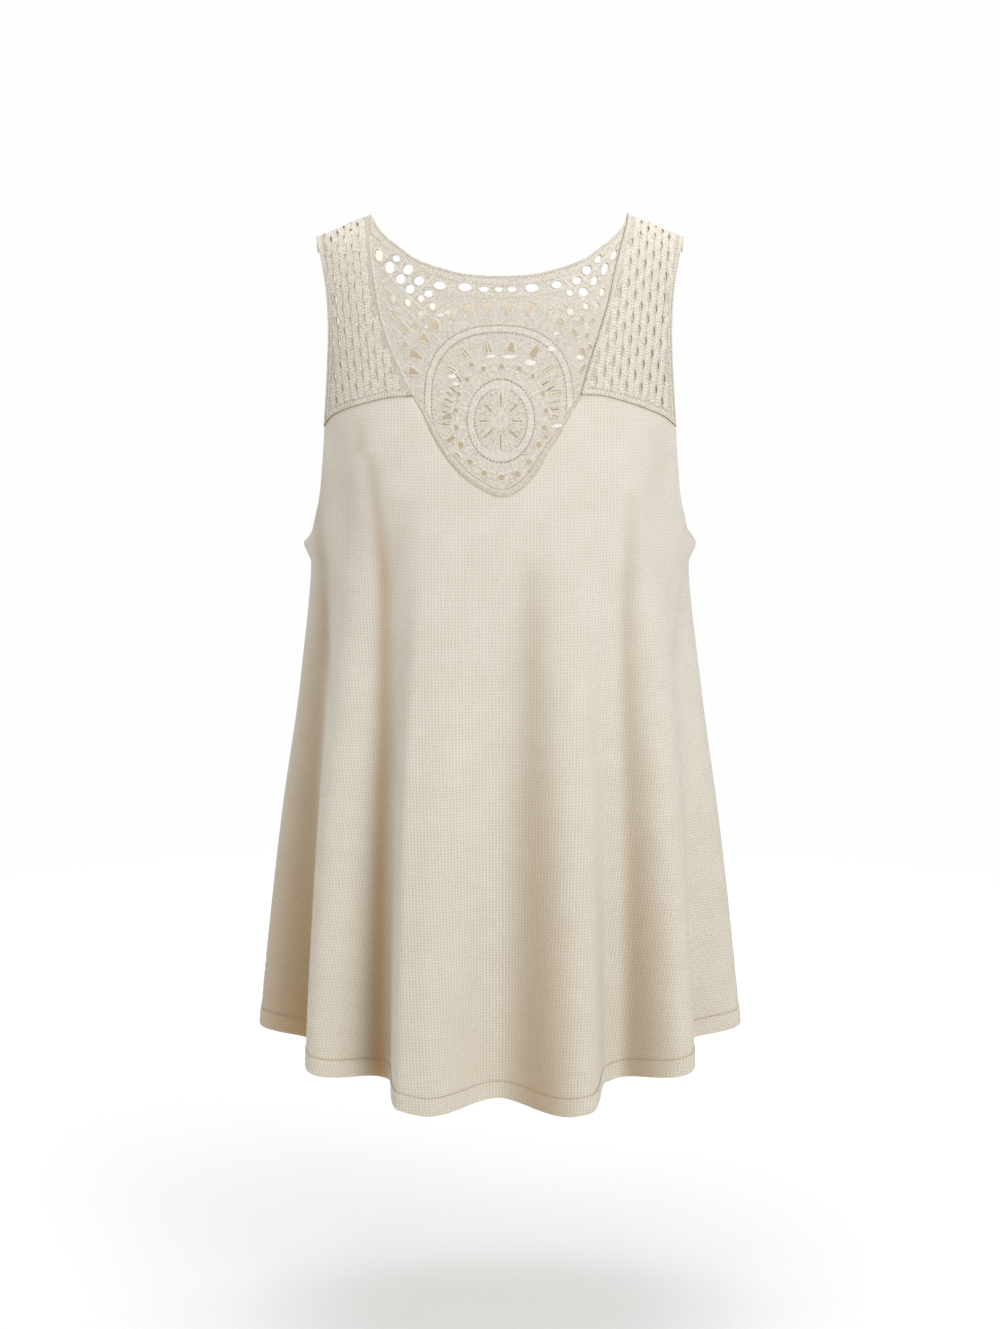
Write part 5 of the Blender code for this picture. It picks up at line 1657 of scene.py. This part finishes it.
@dataclass(frozen=True)
class Hole:
    """An opening of the inset as it is seen from the front, in millimetres, and its tilt in degrees."""

    x: float
    z: float
    width: float
    height: float
    tilt: float = 0.0

    def loop(self) -> Points:
        """Its outline, an oval."""
        turn = np.linspace(0, 2 * math.pi, 16, endpoint=False)
        across, up = np.cos(turn) * self.width / 2, np.sin(turn) * self.height / 2
        cos, sin = math.cos(math.radians(self.tilt)), math.sin(math.radians(self.tilt))
        return np.stack([self.x + across * cos - up * sin, self.z + across * sin + up * cos], -1) * MM


@dataclass(frozen=True)
class RayHole:
    """A four-sided opening that points to the medallion's middle, in millimetres."""

    x: float
    z: float
    length: float
    inner_width: float
    outer_width: float
    split: bool = False

    def ends(self) -> tuple[Points, Points]:
        """The middles of its inner and its outer end."""
        middle = np.array([self.x, self.z]) * MM
        ray = middle - OUTER_RING.middle()
        ray *= self.length * MM / 2 / np.linalg.norm(ray)
        return middle - ray, middle + ray

    def loop(self) -> Points:
        """Its outline, with its corners cut."""
        inner, outer = self.ends()
        along = unit(outer - inner)
        across = np.array([along[1], -along[0]]) * MM / 2
        inner_half, outer_half = across * self.inner_width, across * self.outer_width
        corners = [inner - inner_half, inner + inner_half, outer + outer_half, outer - outer_half]
        square = np.array(corners)
        cut = [square * (1 - part) + np.roll(square, -1, axis=0) * part for part in (0.1, 0.37, 0.63, 0.9)]
        return np.stack(cut, axis=1).reshape(-1, 2)


def holes_of(*rows: tuple[float, float, float, float, float]) -> tuple[Hole, ...]:
    """Oval openings from rows of x, z, width, height and tilt."""
    return tuple(Hole(*row) for row in rows)


NECK_EYELETS = holes_of(
    (-49.5, -54.6, 10.3, 7.0, -8), (-28.6, -55.8, 11.5, 7.0, -4), (-13.1, -57.5, 8.6, 4.9, 0),
    (-0.9, -57.5, 6.6, 4.5, 0), (9.8, -57.5, 7.4, 4.9, 0), (26.2, -56.3, 11.5, 7.0, 3),
    (46.7, -54.1, 8.7, 6.2, 8),
)
LEFT_NET = holes_of(
    (-100.4, -31.9, 6.4, 9.8, 20), (-91.0, -40.9, 7.9, 10.4, 20), (-82.0, -50.0, 7.9, 8.7, 20),
    (-74.0, -57.9, 7.4, 7.8, 20), (-64.9, -65.1, 4.8, 6.2, 20), (-85.7, -33.8, 7.1, 5.4, -35),
    (-75.6, -42.3, 8.7, 8.7, 0), (-66.4, -51.1, 8.7, 7.8, 0), (-58.6, -61.3, 7.4, 6.2, -10),
    (-88.2, -65.8, 4.5, 7.0, 20), (-75.6, -68.8, 4.5, 7.0, 20), (-55.3, -71.5, 4.8, 5.8, 20),
    (-65.0, -78.1, 4.5, 6.6, 20), (-53.9, -86.0, 7.8, 10.3, 35), (-86.6, -79.0, 4.2, 6.6, 15),
    (-77.7, -102.7, 4.5, 5.7, 10), (-69.5, -88.5, 4.2, 6.2, 10), (-77.0, -90.5, 4.2, 6.2, 12),
)
RIGHT_NET = holes_of(
    (93.9, -31.4, 4.2, 9.0, -30), (80.7, -34.5, 4.6, 7.5, -45), (86.3, -42.4, 5.4, 10.4, -25),
    (71.5, -42.8, 8.3, 7.4, 20), (77.4, -51.4, 5.2, 8.6, -30), (63.1, -51.0, 7.8, 6.6, 20),
    (84.0, -60.8, 4.3, 6.6, -20), (68.4, -60.1, 7.8, 7.4, 0), (57.2, -60.4, 5.6, 5.4, 10),
    (70.4, -71.6, 4.4, 5.2, 0), (79.3, -71.8, 4.2, 5.8, -20), (58.1, -75.9, 5.8, 6.2, 0),
    (49.0, -83.9, 6.6, 6.6, 0), (66.7, -82.8, 4.0, 5.2, 20), (75.4, -83.9, 4.0, 5.4, -20),
    (60.4, -92.8, 4.2, 7.8, 28), (70.7, -95.4, 4.2, 5.2, 0), (73.3, -104.5, 4.0, 5.2, 0),
    (67.6, -108.3, 4.2, 8.4, 25), (67.8, -121.2, 4.2, 8.4, -32),
)
FANS = (
    RayHole(-69.8, -124.4, 9.5, 1.2, 7.2),
    RayHole(-68.2, -111.3, 11.5, 1.2, 8.2),
    RayHole(-60.8, -98.0, 9.0, 1.2, 7.6),
    RayHole(-40.4, -77.6, 9.0, 1.2, 8.4),
    RayHole(-25.5, -73.9, 9.8, 1.2, 8.6),
    RayHole(-9.3, -72.6, 9.8, 1.2, 9.6),
    RayHole(7.9, -72.4, 9.8, 1.2, 9.6),
    RayHole(25.0, -73.0, 9.8, 1.2, 9.0),
    RayHole(38.4, -77.6, 9.4, 1.2, 5.0),
)
RAYS = (
    RayHole(-10.2, -103.7, 9.8, 5.6, 3.2, True),
    RayHole(9.1, -104.1, 7.6, 7.4, 3.4),
    RayHole(28.2, -107.7, 9.6, 6.4, 4.6),
    RayHole(-29.5, -108.1, 9.6, 4.8, 3.4, True),
    RayHole(39.6, -121.3, 8.4, 4.6, 3.4, True),
    RayHole(-40.6, -121.9, 8.4, 4.6, 3.2, True),
    RayHole(-43.4, -159.6, 8.4, 5.4, 3.6),
    RayHole(-40.3, -177.2, 8.0, 4.4, 3.4),
    RayHole(46.1, -139.7, 8.4, 4.6, 3.2, True),
    RayHole(44.6, -160.0, 6.4, 4.6, 3.6, True),
    RayHole(37.2, -175.4, 4.4, 4.6, 3.4),
)
DOTS = holes_of(
    (-23.5, -117.9, 4.5, 4.5, 0), (-13.6, -121.2, 4.1, 4.5, 0), (1.0, -119.4, 4.5, 4.7, 0),
    (15.5, -120.8, 4.3, 4.5, 0), (26.7, -127.3, 4.0, 4.7, 0), (-27.0, -129.6, 4.4, 4.1, 0),
    (-33.8, -141.1, 4.0, 4.3, 0), (-36.3, -154.2, 3.9, 4.3, 0), (-35.7, -167.9, 4.0, 4.9, 0),
    (-32.2, -182.0, 4.7, 6.3, 0), (-24.5, -195.4, 5.0, 5.0, 0), (-13.0, -204.3, 5.3, 5.0, 0),
    (1.0, -207.6, 6.1, 5.1, 0), (14.1, -205.1, 5.7, 5.3, 0), (23.4, -195.2, 4.8, 5.0, 0),
    (31.4, -181.7, 4.4, 6.0, 0), (35.9, -168.2, 4.1, 5.0, 0), (37.4, -154.7, 4.1, 5.0, 0),
    (34.7, -140.9, 4.1, 4.9, 0), (-7.3, -212.5, 7.4, 1.9, -24), (8.2, -211.9, 6.6, 1.9, 24),
    (-34.6, -189.6, 6.1, 2.1, -48),
)


@dataclass(frozen=True)
class Knot:
    """A small pale flat knot of the inset as it is seen from the front, in millimetres."""

    x: float
    z: float
    half_length: float
    half_width: float


KNOTS = (
    Knot(-7.3, -111.2, 3.2, 1.9),
    Knot(7.4, -111.6, 5.0, 1.8),
    Knot(24.8, -116.4, 4.0, 2.8),
    Knot(-38.8, -127.2, 2.8, 2.4),
    Knot(-36.2, -133.2, 2.0, 2.0),
    Knot(65.3, -112.4, 3.0, 2.4),
    Knot(71.0, -126.6, 1.8, 1.8),
    Knot(42.0, -105.6, 2.6, 2.4),
    Knot(46.8, -166.6, 4.2, 1.5),
    Knot(46.0, -93.2, 1.8, 1.4),
    Knot(-48.5, -78.5, 2.4, 1.6),
    Knot(-60.5, -88.2, 1.6, 1.2),
)


@dataclass(frozen=True)
class Net:
    """The crossing cords of one slanted net, counted from its first hole, as for the right side."""

    side: Side
    start: tuple[float, float]
    slope: float = math.radians(44)
    along_pitch: float = 12.6 * MM
    rows: tuple[float, ...] = (-4.6, 4.6, 13.5, 22.5, 31.0)

    def lines(self) -> list[Points]:
        """The cords' lines, each far longer than the net."""
        along = np.array([-math.cos(self.slope), -math.sin(self.slope)])
        across = np.array([math.sin(self.slope), -math.cos(self.slope)])
        reach = np.arange(-60, 120, 1.3)[:, None] * MM
        start = np.array(self.start) * MM
        lines = [start + across * row * MM + along * reach for row in self.rows]
        for place in range(-1, 8):
            lines.append(start + along * self.along_pitch * (place + 0.5) + across * reach)
        return [line * np.array([self.side.value, 1]) for line in lines]


@dataclass(frozen=True)
class ChainRow:
    """A row of chain stitches along the neckline, in millimetres: how far below it, and its size."""

    drop: float
    width: float
    height: float
    margin: float = 0.6
    off_holes: float = 0.4


CHAIN_ROWS = (
    ChainRow(0.9, 1.9, 0.9),
    ChainRow(2.7, 1.7, 0.45),
    ChainRow(4.4, 1.7, 0.4),
    ChainRow(6.1, 1.7, 0.4),
    ChainRow(14.8, 1.6, 0.35, 1.0, 0.9),
    ChainRow(16.6, 1.6, 0.35, 1.0, 0.9),
)


@dataclass
class MedallionInset:
    """The crochet inset: a round medallion with fans, eyelets and slanted nets, seen from the front."""

    flat: tuple[float, float]
    area: float
    spacing: float = 1.2 * MM
    edge_spacing: float = 1.6 * MM
    edge_clear: float = 0.5 * MM
    rim_clear: float = 0.45 * MM
    least: float = 1.2 * MM
    hole_reach: float = 9 * MM
    frame: float = 20.6 * MM
    groove_inset: float = 0.3 * MM
    groove_width: float = 0.5 * MM
    groove_depth: float = 0.3 * MM
    groove_tone: float = 0.1
    groove_rows: tuple[float, ...] = (-0.55, 0.0, 0.55)
    band_rise: float = 0.25 * MM
    band_inset: float = 0.8 * MM
    rise: float = -0.1 * MM
    tone: float = 0.08
    # Painted shade on the inner face and on the walls of the holes.
    inside_tone: float = 0.5
    rings: tuple[Ring, ...] = (OUTER_RING, OVAL_RING)
    yarn: Cloth = field(default_factory=Cloth)
    nets: tuple[Net, ...] = (Net(Side.LEFT, (101.1, -32.4)), Net(Side.RIGHT, (95.4, -31.7)))

    def __post_init__(self) -> None:
        """Works out the inset's outline and its holes."""
        half = seen_edge(NECKLINE, self.edge_spacing)
        self.neck = np.concatenate([half[::-1], (half * MIRROR)[1:]])
        right = beside(seen_edge(V_EDGE_RIGHT, self.edge_spacing), -SEAM_GAP / 2)
        left = beside(seen_edge(V_EDGE_LEFT, self.edge_spacing), SEAM_GAP / 2)
        right, left = right[right[:, 1] < half[-1, 1]], left[left[:, 1] < half[-1, 1]]
        roll = NotchRoll()
        notch = roll.clear_of(seen_edge(NOTCH, roll.spacing), 1)
        self.loop = loop_of(self.neck, left[:-1], notch[1:-1], right[:-1][::-1])
        self.grooves: list[tuple[Ring, float]] = []
        for ring in self.rings:
            self.grooves += [(ring, self.groove_inset), (ring, ring.band - self.groove_inset)]
        self.holes = self.cut_holes()

    def fits(self, hole: Points, others: list[Points]) -> bool:
        """Whether a hole lies whole within the inset and clear of the other holes."""
        if not inside(hole, self.loop).all() or clearance(hole, self.loop).min() < self.least:
            return False
        for other in others:
            if np.linalg.norm(hole.mean(axis=0) - other.mean(axis=0)) > 20 * MM:
                continue
            apart = min(clearance(hole, other).min(), clearance(other, hole).min())
            if inside(hole, other).any() or apart < self.least:
                return False
        return True

    def cut_holes(self) -> list[Points]:
        """All the holes, each where it fits."""
        holes: list[Points] = []
        for wanted in (*NECK_EYELETS, *LEFT_NET, *RIGHT_NET, *FANS, *RAYS, *DOTS):
            loop = wanted.loop()
            if self.fits(loop, holes):
                holes.append(loop)
            else:
                LOG.info("no room for the hole at %.1f, %.1f", wanted.x, wanted.z)
        return holes

    def relief(self, places: Points) -> tuple[Points, Points]:
        """How far the ground stands out at each place, and how deep in shade it lies."""
        rise = np.full(len(places), self.rise)
        tone = np.full(len(places), self.tone)
        for ring in self.rings:
            inward = ring.inward(places)
            band = (inward > self.band_inset) & (inward < ring.band - self.band_inset)
            band &= places[:, 1] > ring.low
            rise[band] += self.band_rise
            tone[band] = 0.0
            for line in (self.groove_inset, ring.band - self.groove_inset):
                groove = np.exp(-(((inward - line) / self.groove_width) ** 2)) * (places[:, 1] > ring.low)
                rise -= self.groove_depth * groove
                tone += self.groove_tone * groove
        return rise, np.clip(tone, 0, 1)

    def clear(self, line: Points, margin: float, off_holes: float = 0.0) -> Points:
        """Which points of a line lie within the inset, clear of its edge and of all the holes."""
        keep = inside(line, self.loop) & (clearance(line, self.loop) > margin)
        for hole in self.holes:
            near = np.flatnonzero(np.linalg.norm(line - hole.mean(axis=0), axis=1) < self.hole_reach)
            if len(near):
                keep[near] &= ~inside(line[near], hole)
                if off_holes:
                    keep[near] &= clearance(line[near], hole) > off_holes
        return keep

    def round_runs(self, line: Points, margin: float, off_holes: float) -> list[tuple[Points, bool]]:
        """A closed line's clear stretches above a height, each with whether it is the whole line."""
        keep = self.clear(line, margin, off_holes)
        if keep.all():
            return [(line, True)]
        start = int(np.argmin(keep))
        line, keep = np.roll(line, -start, axis=0), np.roll(keep, -start)
        return [(line[run], False) for run in runs(keep, 4)]

    def bands(self) -> None:
        """Lays the small sunk stitches that dot both sides of each ring's band, painted in full shade as
        dark dots.
        """
        widths = np.array([0.3, 0.62, 0.62, 0.3]) * MM
        for ring, inward in self.grooves:
            middle = ring.line(inward, 3.0 * MM)
            keep = self.clear(middle, 1.2 * MM) & (middle[:, 1] > ring.low)
            along = unit(heading(middle, closed=True))
            for place, ahead in zip(middle[keep], along[keep], strict=True):
                line = place + ahead * np.linspace(-0.7, 0.7, 4)[:, None] * MM
                lay_yarn(self.yarn, line, FORM.front, widths, 0.25 * MM, -0.22 * MM, sides=5, tone=1.1)

    def ray(
        self, start: Points, end: Points, width: float, tone: float = 0.05, over: bool = False
    ) -> None:
        """Lays a straight strand between two places, where the ground is whole.

        Args:
            start: One end.
            end: The other end.
            width: Half the strand's width.
            tone: How deep in shade it lies.
            over: Whether it also crosses holes.
        """
        count = max(3, round(np.linalg.norm(end - start) / (1.0 * MM)))
        line = start + (end - start) * np.linspace(0, 1, count)[:, None]
        keep = inside(line, self.loop) if over else self.clear(line, 0.9 * MM, 0.5 * MM)
        for run in runs(keep, 3):
            swell = width * (0.85 + 0.3 * np.cos(np.arange(run.stop - run.start) * 2.1))
            lay_yarn(self.yarn, line[run], FORM.front, swell, swell * 0.5, 0.0, sides=5, tone=tone)

    def spokes(self, random: np.random.Generator) -> None:
        """Lays the spokes of the medallion and of the fans, their widths drawn at random."""
        centre = OVAL_RING.middle()
        for degrees in np.arange(0, 360, 4.0):
            start = OVAL_RING.at(degrees, 13.4 * MM)
            steps = start + unit(start - centre) * np.arange(0, 40, 0.5)[:, None] * MM
            within_ring = OUTER_RING.inward(steps) > OUTER_RING.band + 1.0 * MM
            if within_ring.sum() > 6:
                end = steps[np.flatnonzero(within_ring)[-1]]
                self.ray(start, end, random.uniform(0.34, 0.5) * MM, 0.12)
        for degrees in np.arange(-112, 113, 3.2):
            start, end = OUTER_RING.at(degrees, 1.4 * MM), OUTER_RING.at(degrees, self.frame - 1.5 * MM)
            self.ray(start, end, random.uniform(0.34, 0.5) * MM, 0.12)

    def sunburst(self) -> None:
        """Lays the rays within the oval ring and the short ones round it."""
        centre = OVAL_RING.middle()
        for degrees in np.arange(0, 360, 7.2):
            self.ray(OVAL_RING.at(degrees, 1.4 * MM), OVAL_RING.at(degrees, 7.2 * MM), 0.5 * MM)
        for number in range(72):
            far = OVAL_RING.at(number * 5.0, -OVAL_RING.band - 0.9 * MM)
            run = far - centre
            # Every ninth ray is painted in full shade, a dark strand that stands in for the shade of a sunk
            # groove; the even ones are painted a little darker.
            if number % 9 == 0:
                self.ray(centre + run * 0.45, centre + run * 0.84, 0.42 * MM, 1.0)
            elif number % 2:
                self.ray(centre + run * 0.14, far, 0.42 * MM, 0.0)
            else:
                self.ray(centre + run * 0.32, far, 0.42 * MM, 0.25)

    def rays(self) -> None:
        """Lays all the straight strands of the medallion."""
        random = np.random.default_rng(3)
        self.spokes(random)
        self.sunburst()
        for degrees in (*range(266, 320, 6), *range(50, 86, 7)):
            near = random.uniform(14.2, 15.6) * MM
            far = near + random.uniform(5.0, 7.5) * MM
            start, end = OVAL_RING.at(degrees, near), OVAL_RING.at(degrees + 1.0, far)
            self.ray(start, end, 0.5 * MM, 1.6)
        for hole in RAYS:
            if hole.split:
                self.ray(*hole.ends(), 0.55 * MM, 0.0, over=True)

    def chains(self) -> None:
        """Lays the rows of stitches: the neckline's band, the frame of the fans, and round the dots."""
        for row in CHAIN_ROWS:
            stitch = Stitch(width=row.width * MM, height=row.height * MM)
            line = beside(self.neck, row.drop * MM)
            for run in runs(self.clear(line, row.margin * MM, row.off_holes * MM), 5):
                stitch.lay(self.yarn, line[run], FORM.front)
        for inward in (-8.0 * MM, -12.6 * MM):
            for line, whole in self.round_runs(OVAL_RING.line(inward, 1.3 * MM), 1.2 * MM, 0.8 * MM):
                Stitch(width=1.6 * MM, height=0.3 * MM).lay(self.yarn, line, FORM.front, closed=whole)

    def rims(self) -> None:
        """Lays a strand round every hole, close to its edge."""
        for hole in self.holes:
            bead = 0.5 * MM * (1 + 0.2 * np.cos(np.arange(len(hole)) * math.pi))
            line = grown(hole, 0.35 * MM)[::-1]
            lay_yarn(self.yarn, line, FORM.front, bead, bead, 0.05 * MM, closed=True, sides=6, tone=0.08)

    def cords(self) -> None:
        """Lays the crossing cords of the two slanted nets, between their holes."""
        stitch = Stitch(pitch=2.4 * MM, width=2.2 * MM, height=0.35 * MM)
        for net in self.nets:
            for line in net.lines():
                keep = self.clear(line, 6.2 * MM, 0.9 * MM)
                keep &= -OUTER_RING.inward(line) > self.frame + 1.6 * MM
                keep &= line[:, 0] * net.side.value > 50 * MM
                for run in runs(keep, 4):
                    stitch.lay(self.yarn, line[run], FORM.front, lift=0.05 * MM)

    def knots(self) -> Cloth:
        """The pale flat knots below the medallion's upper holes and beside its fans."""
        cloth = Cloth()
        steps = np.arange(9)
        for knot in KNOTS:
            middle = np.array([knot.x, knot.z])
            if not self.clear(middle[None] * MM, 1.0 * MM)[0]:
                continue
            run = np.array([knot.half_length, 0.08 * knot.half_length])
            line = (middle + np.linspace(-1, 1, len(steps))[:, None] * run) * MM
            line[:, 1] += 0.35 * knot.half_width * MM * np.sin(steps * 1.9 + knot.x)
            taper = np.sin(np.linspace(0.4, math.pi - 0.4, len(steps)))
            thick = (0.8 + 0.2 * np.cos(steps * 2.4 + knot.z)) * taper * knot.half_width * MM
            lay_yarn(cloth, line, FORM.front, thick, 0.25 * MM, 0.1 * MM, sides=8, tone=0.12)
        return cloth

    def build(self) -> None:
        """Builds the inset: its cut wall, its stitches and its pale knots."""
        free = honeycomb(self.loop, self.spacing)
        for ring, inward in self.grooves:
            free = free[np.abs(ring.inward(free) - inward) > 0.9 * MM]
        rows = [
            ring.line(inward + off * MM, 0.8 * MM)
            for ring, inward in self.grooves
            for off in self.groove_rows
        ]
        free = within(np.concatenate([free, *rows]), self.loop, self.edge_clear)
        free = clear_of_holes(free, self.holes, self.rim_clear, self.hole_reach)
        flat, faces = triangulate(self.loop, self.holes, free)
        rise, tone = self.relief(flat)
        ground = Cloth()
        add_wall(ground, flat, faces, FORM.front, WALL, rise, flat, tone, self.inside_tone)
        wall = add_piece("medallion_ground", ground, Finish.GROUND, "medallion_inset")
        for lay in (self.bands, self.rays, self.chains, self.rims, self.cords):
            lay()
        pieces = [
            add_piece("medallion_stitches", self.yarn, Finish.CROCHET),
            add_piece("medallion_knots", self.knots(), Finish.PICOT),
        ]


@dataclass
class Studio:
    """The floor, the light and the camera."""

    floor_drop: float = 0.24
    floor_radius: float = 2.0
    camera_place: tuple[float, float, float] = (0.0, -2.4, 0.10)
    camera_pitch: float = 11.482
    lens: float = 76.304
    aim: tuple[float, float, float] = (0.0, 0.0, -0.37)

    def floor(self) -> None:
        """A round floor below the hem."""
        bpy.ops.object.select_all(action="DESELECT")
        place = (0, 0, HEM_LOW - self.floor_drop)
        bpy.ops.mesh.primitive_circle_add(
            vertices=96, radius=self.floor_radius, fill_type="NGON", location=place
        )
        floor = bpy.context.object
        floor.name = "studio_floor"
        floor.data.materials.append(OpalFloor().material())

    def light(self, name: str, place: Vector, size: float, power: float, colour: str = "#FFFFFF") -> None:
        """A square soft light that faces the middle of the top."""
        data = bpy.data.lights.new(name, "AREA")
        data.color = linear(colour)[:3]
        data.shape = "SQUARE"
        data.size = size
        data.energy = power
        lamp = bpy.data.objects.new(name, data)
        lamp.location = place
        lamp.rotation_euler = (place - Vector(self.aim)).to_track_quat("Z", "Y").to_euler()
        bpy.context.scene.collection.objects.link(lamp)

    def sky(self, seen: float, cast: float) -> None:
        """An even white surround: how bright it is seen, and how much light it casts."""
        world = bpy.data.worlds.new("white_surround")
        world.use_nodes = True
        tree = world.node_tree
        back = tree.nodes["Background"]
        path = add_node(tree, "LightPath")
        level = ramp(tree, path.outputs["Is Camera Ray"], 0.0, 1.0, cast, seen)
        link_inputs(back, {"Strength": level})
        set_inputs(back, {"Color": (1, 1, 1, 1)})
        bpy.context.scene.world = world

    def camera(self) -> None:
        """A camera straight in front, a little above the shoulders and tilted down."""
        data = bpy.data.cameras.new("camera")
        data.lens = self.lens
        data.clip_end = 50
        eye = bpy.data.objects.new("camera", data)
        eye.location = self.camera_place
        eye.rotation_euler = (math.radians(90 - self.camera_pitch), 0, 0)
        bpy.context.scene.collection.objects.link(eye)
        bpy.context.scene.camera = eye

    def build(self) -> None:
        """Builds the studio."""
        bpy.context.scene.view_settings.view_transform = "Standard"
        self.floor()
        self.light("key_softbox", Vector((1.8, -2.2, 0.6)), 1.5, 37, "#FAFCFF")
        self.light("fill_softbox", Vector((-1.9, -1.7, 0.4)), 1.5, 8, "#FFFCF7")
        self.light("top_softbox", Vector((0.0, 0.1, 1.9)), 1.9, 32)
        self.sky(0.99, 0.49)
        self.camera()


def main() -> None:
    """Builds the top piece by piece, then the studio."""
    logging.basicConfig(level=logging.INFO, format="%(name)s: %(message)s")
    Studio().build()
    BodyPanel("front_cloth", "front_body", back=False, flat=(0.66, 0.60), area=0.283).build()
    BodyPanel("back_cloth", "back_body", back=True, flat=(0.72, 0.72), area=0.343).build()
    NotchRoll().build()
    ShoulderPanel(
        side=Side.RIGHT, origin=(0.1185, -0.0509), pitch=12.5 * MM, row=9.5 * MM, lean=0.10, tilt=0.20,
        eyelet_lean=-0.06, flat=(0.085, 0.215), area=0.0125, eyelet_width=2.3 * MM,
    ).build()
    ShoulderPanel(
        side=Side.LEFT, origin=(0.0889, -0.0579), pitch=11.9 * MM, row=9.2 * MM, lean=0.09, tilt=0.165,
        eyelet_lean=0.17, flat=(0.085, 0.210), area=0.0109,
    ).build()
    MedallionInset(flat=(0.218, 0.240), area=0.0257).build()


if __name__ == "__main__":
    main()
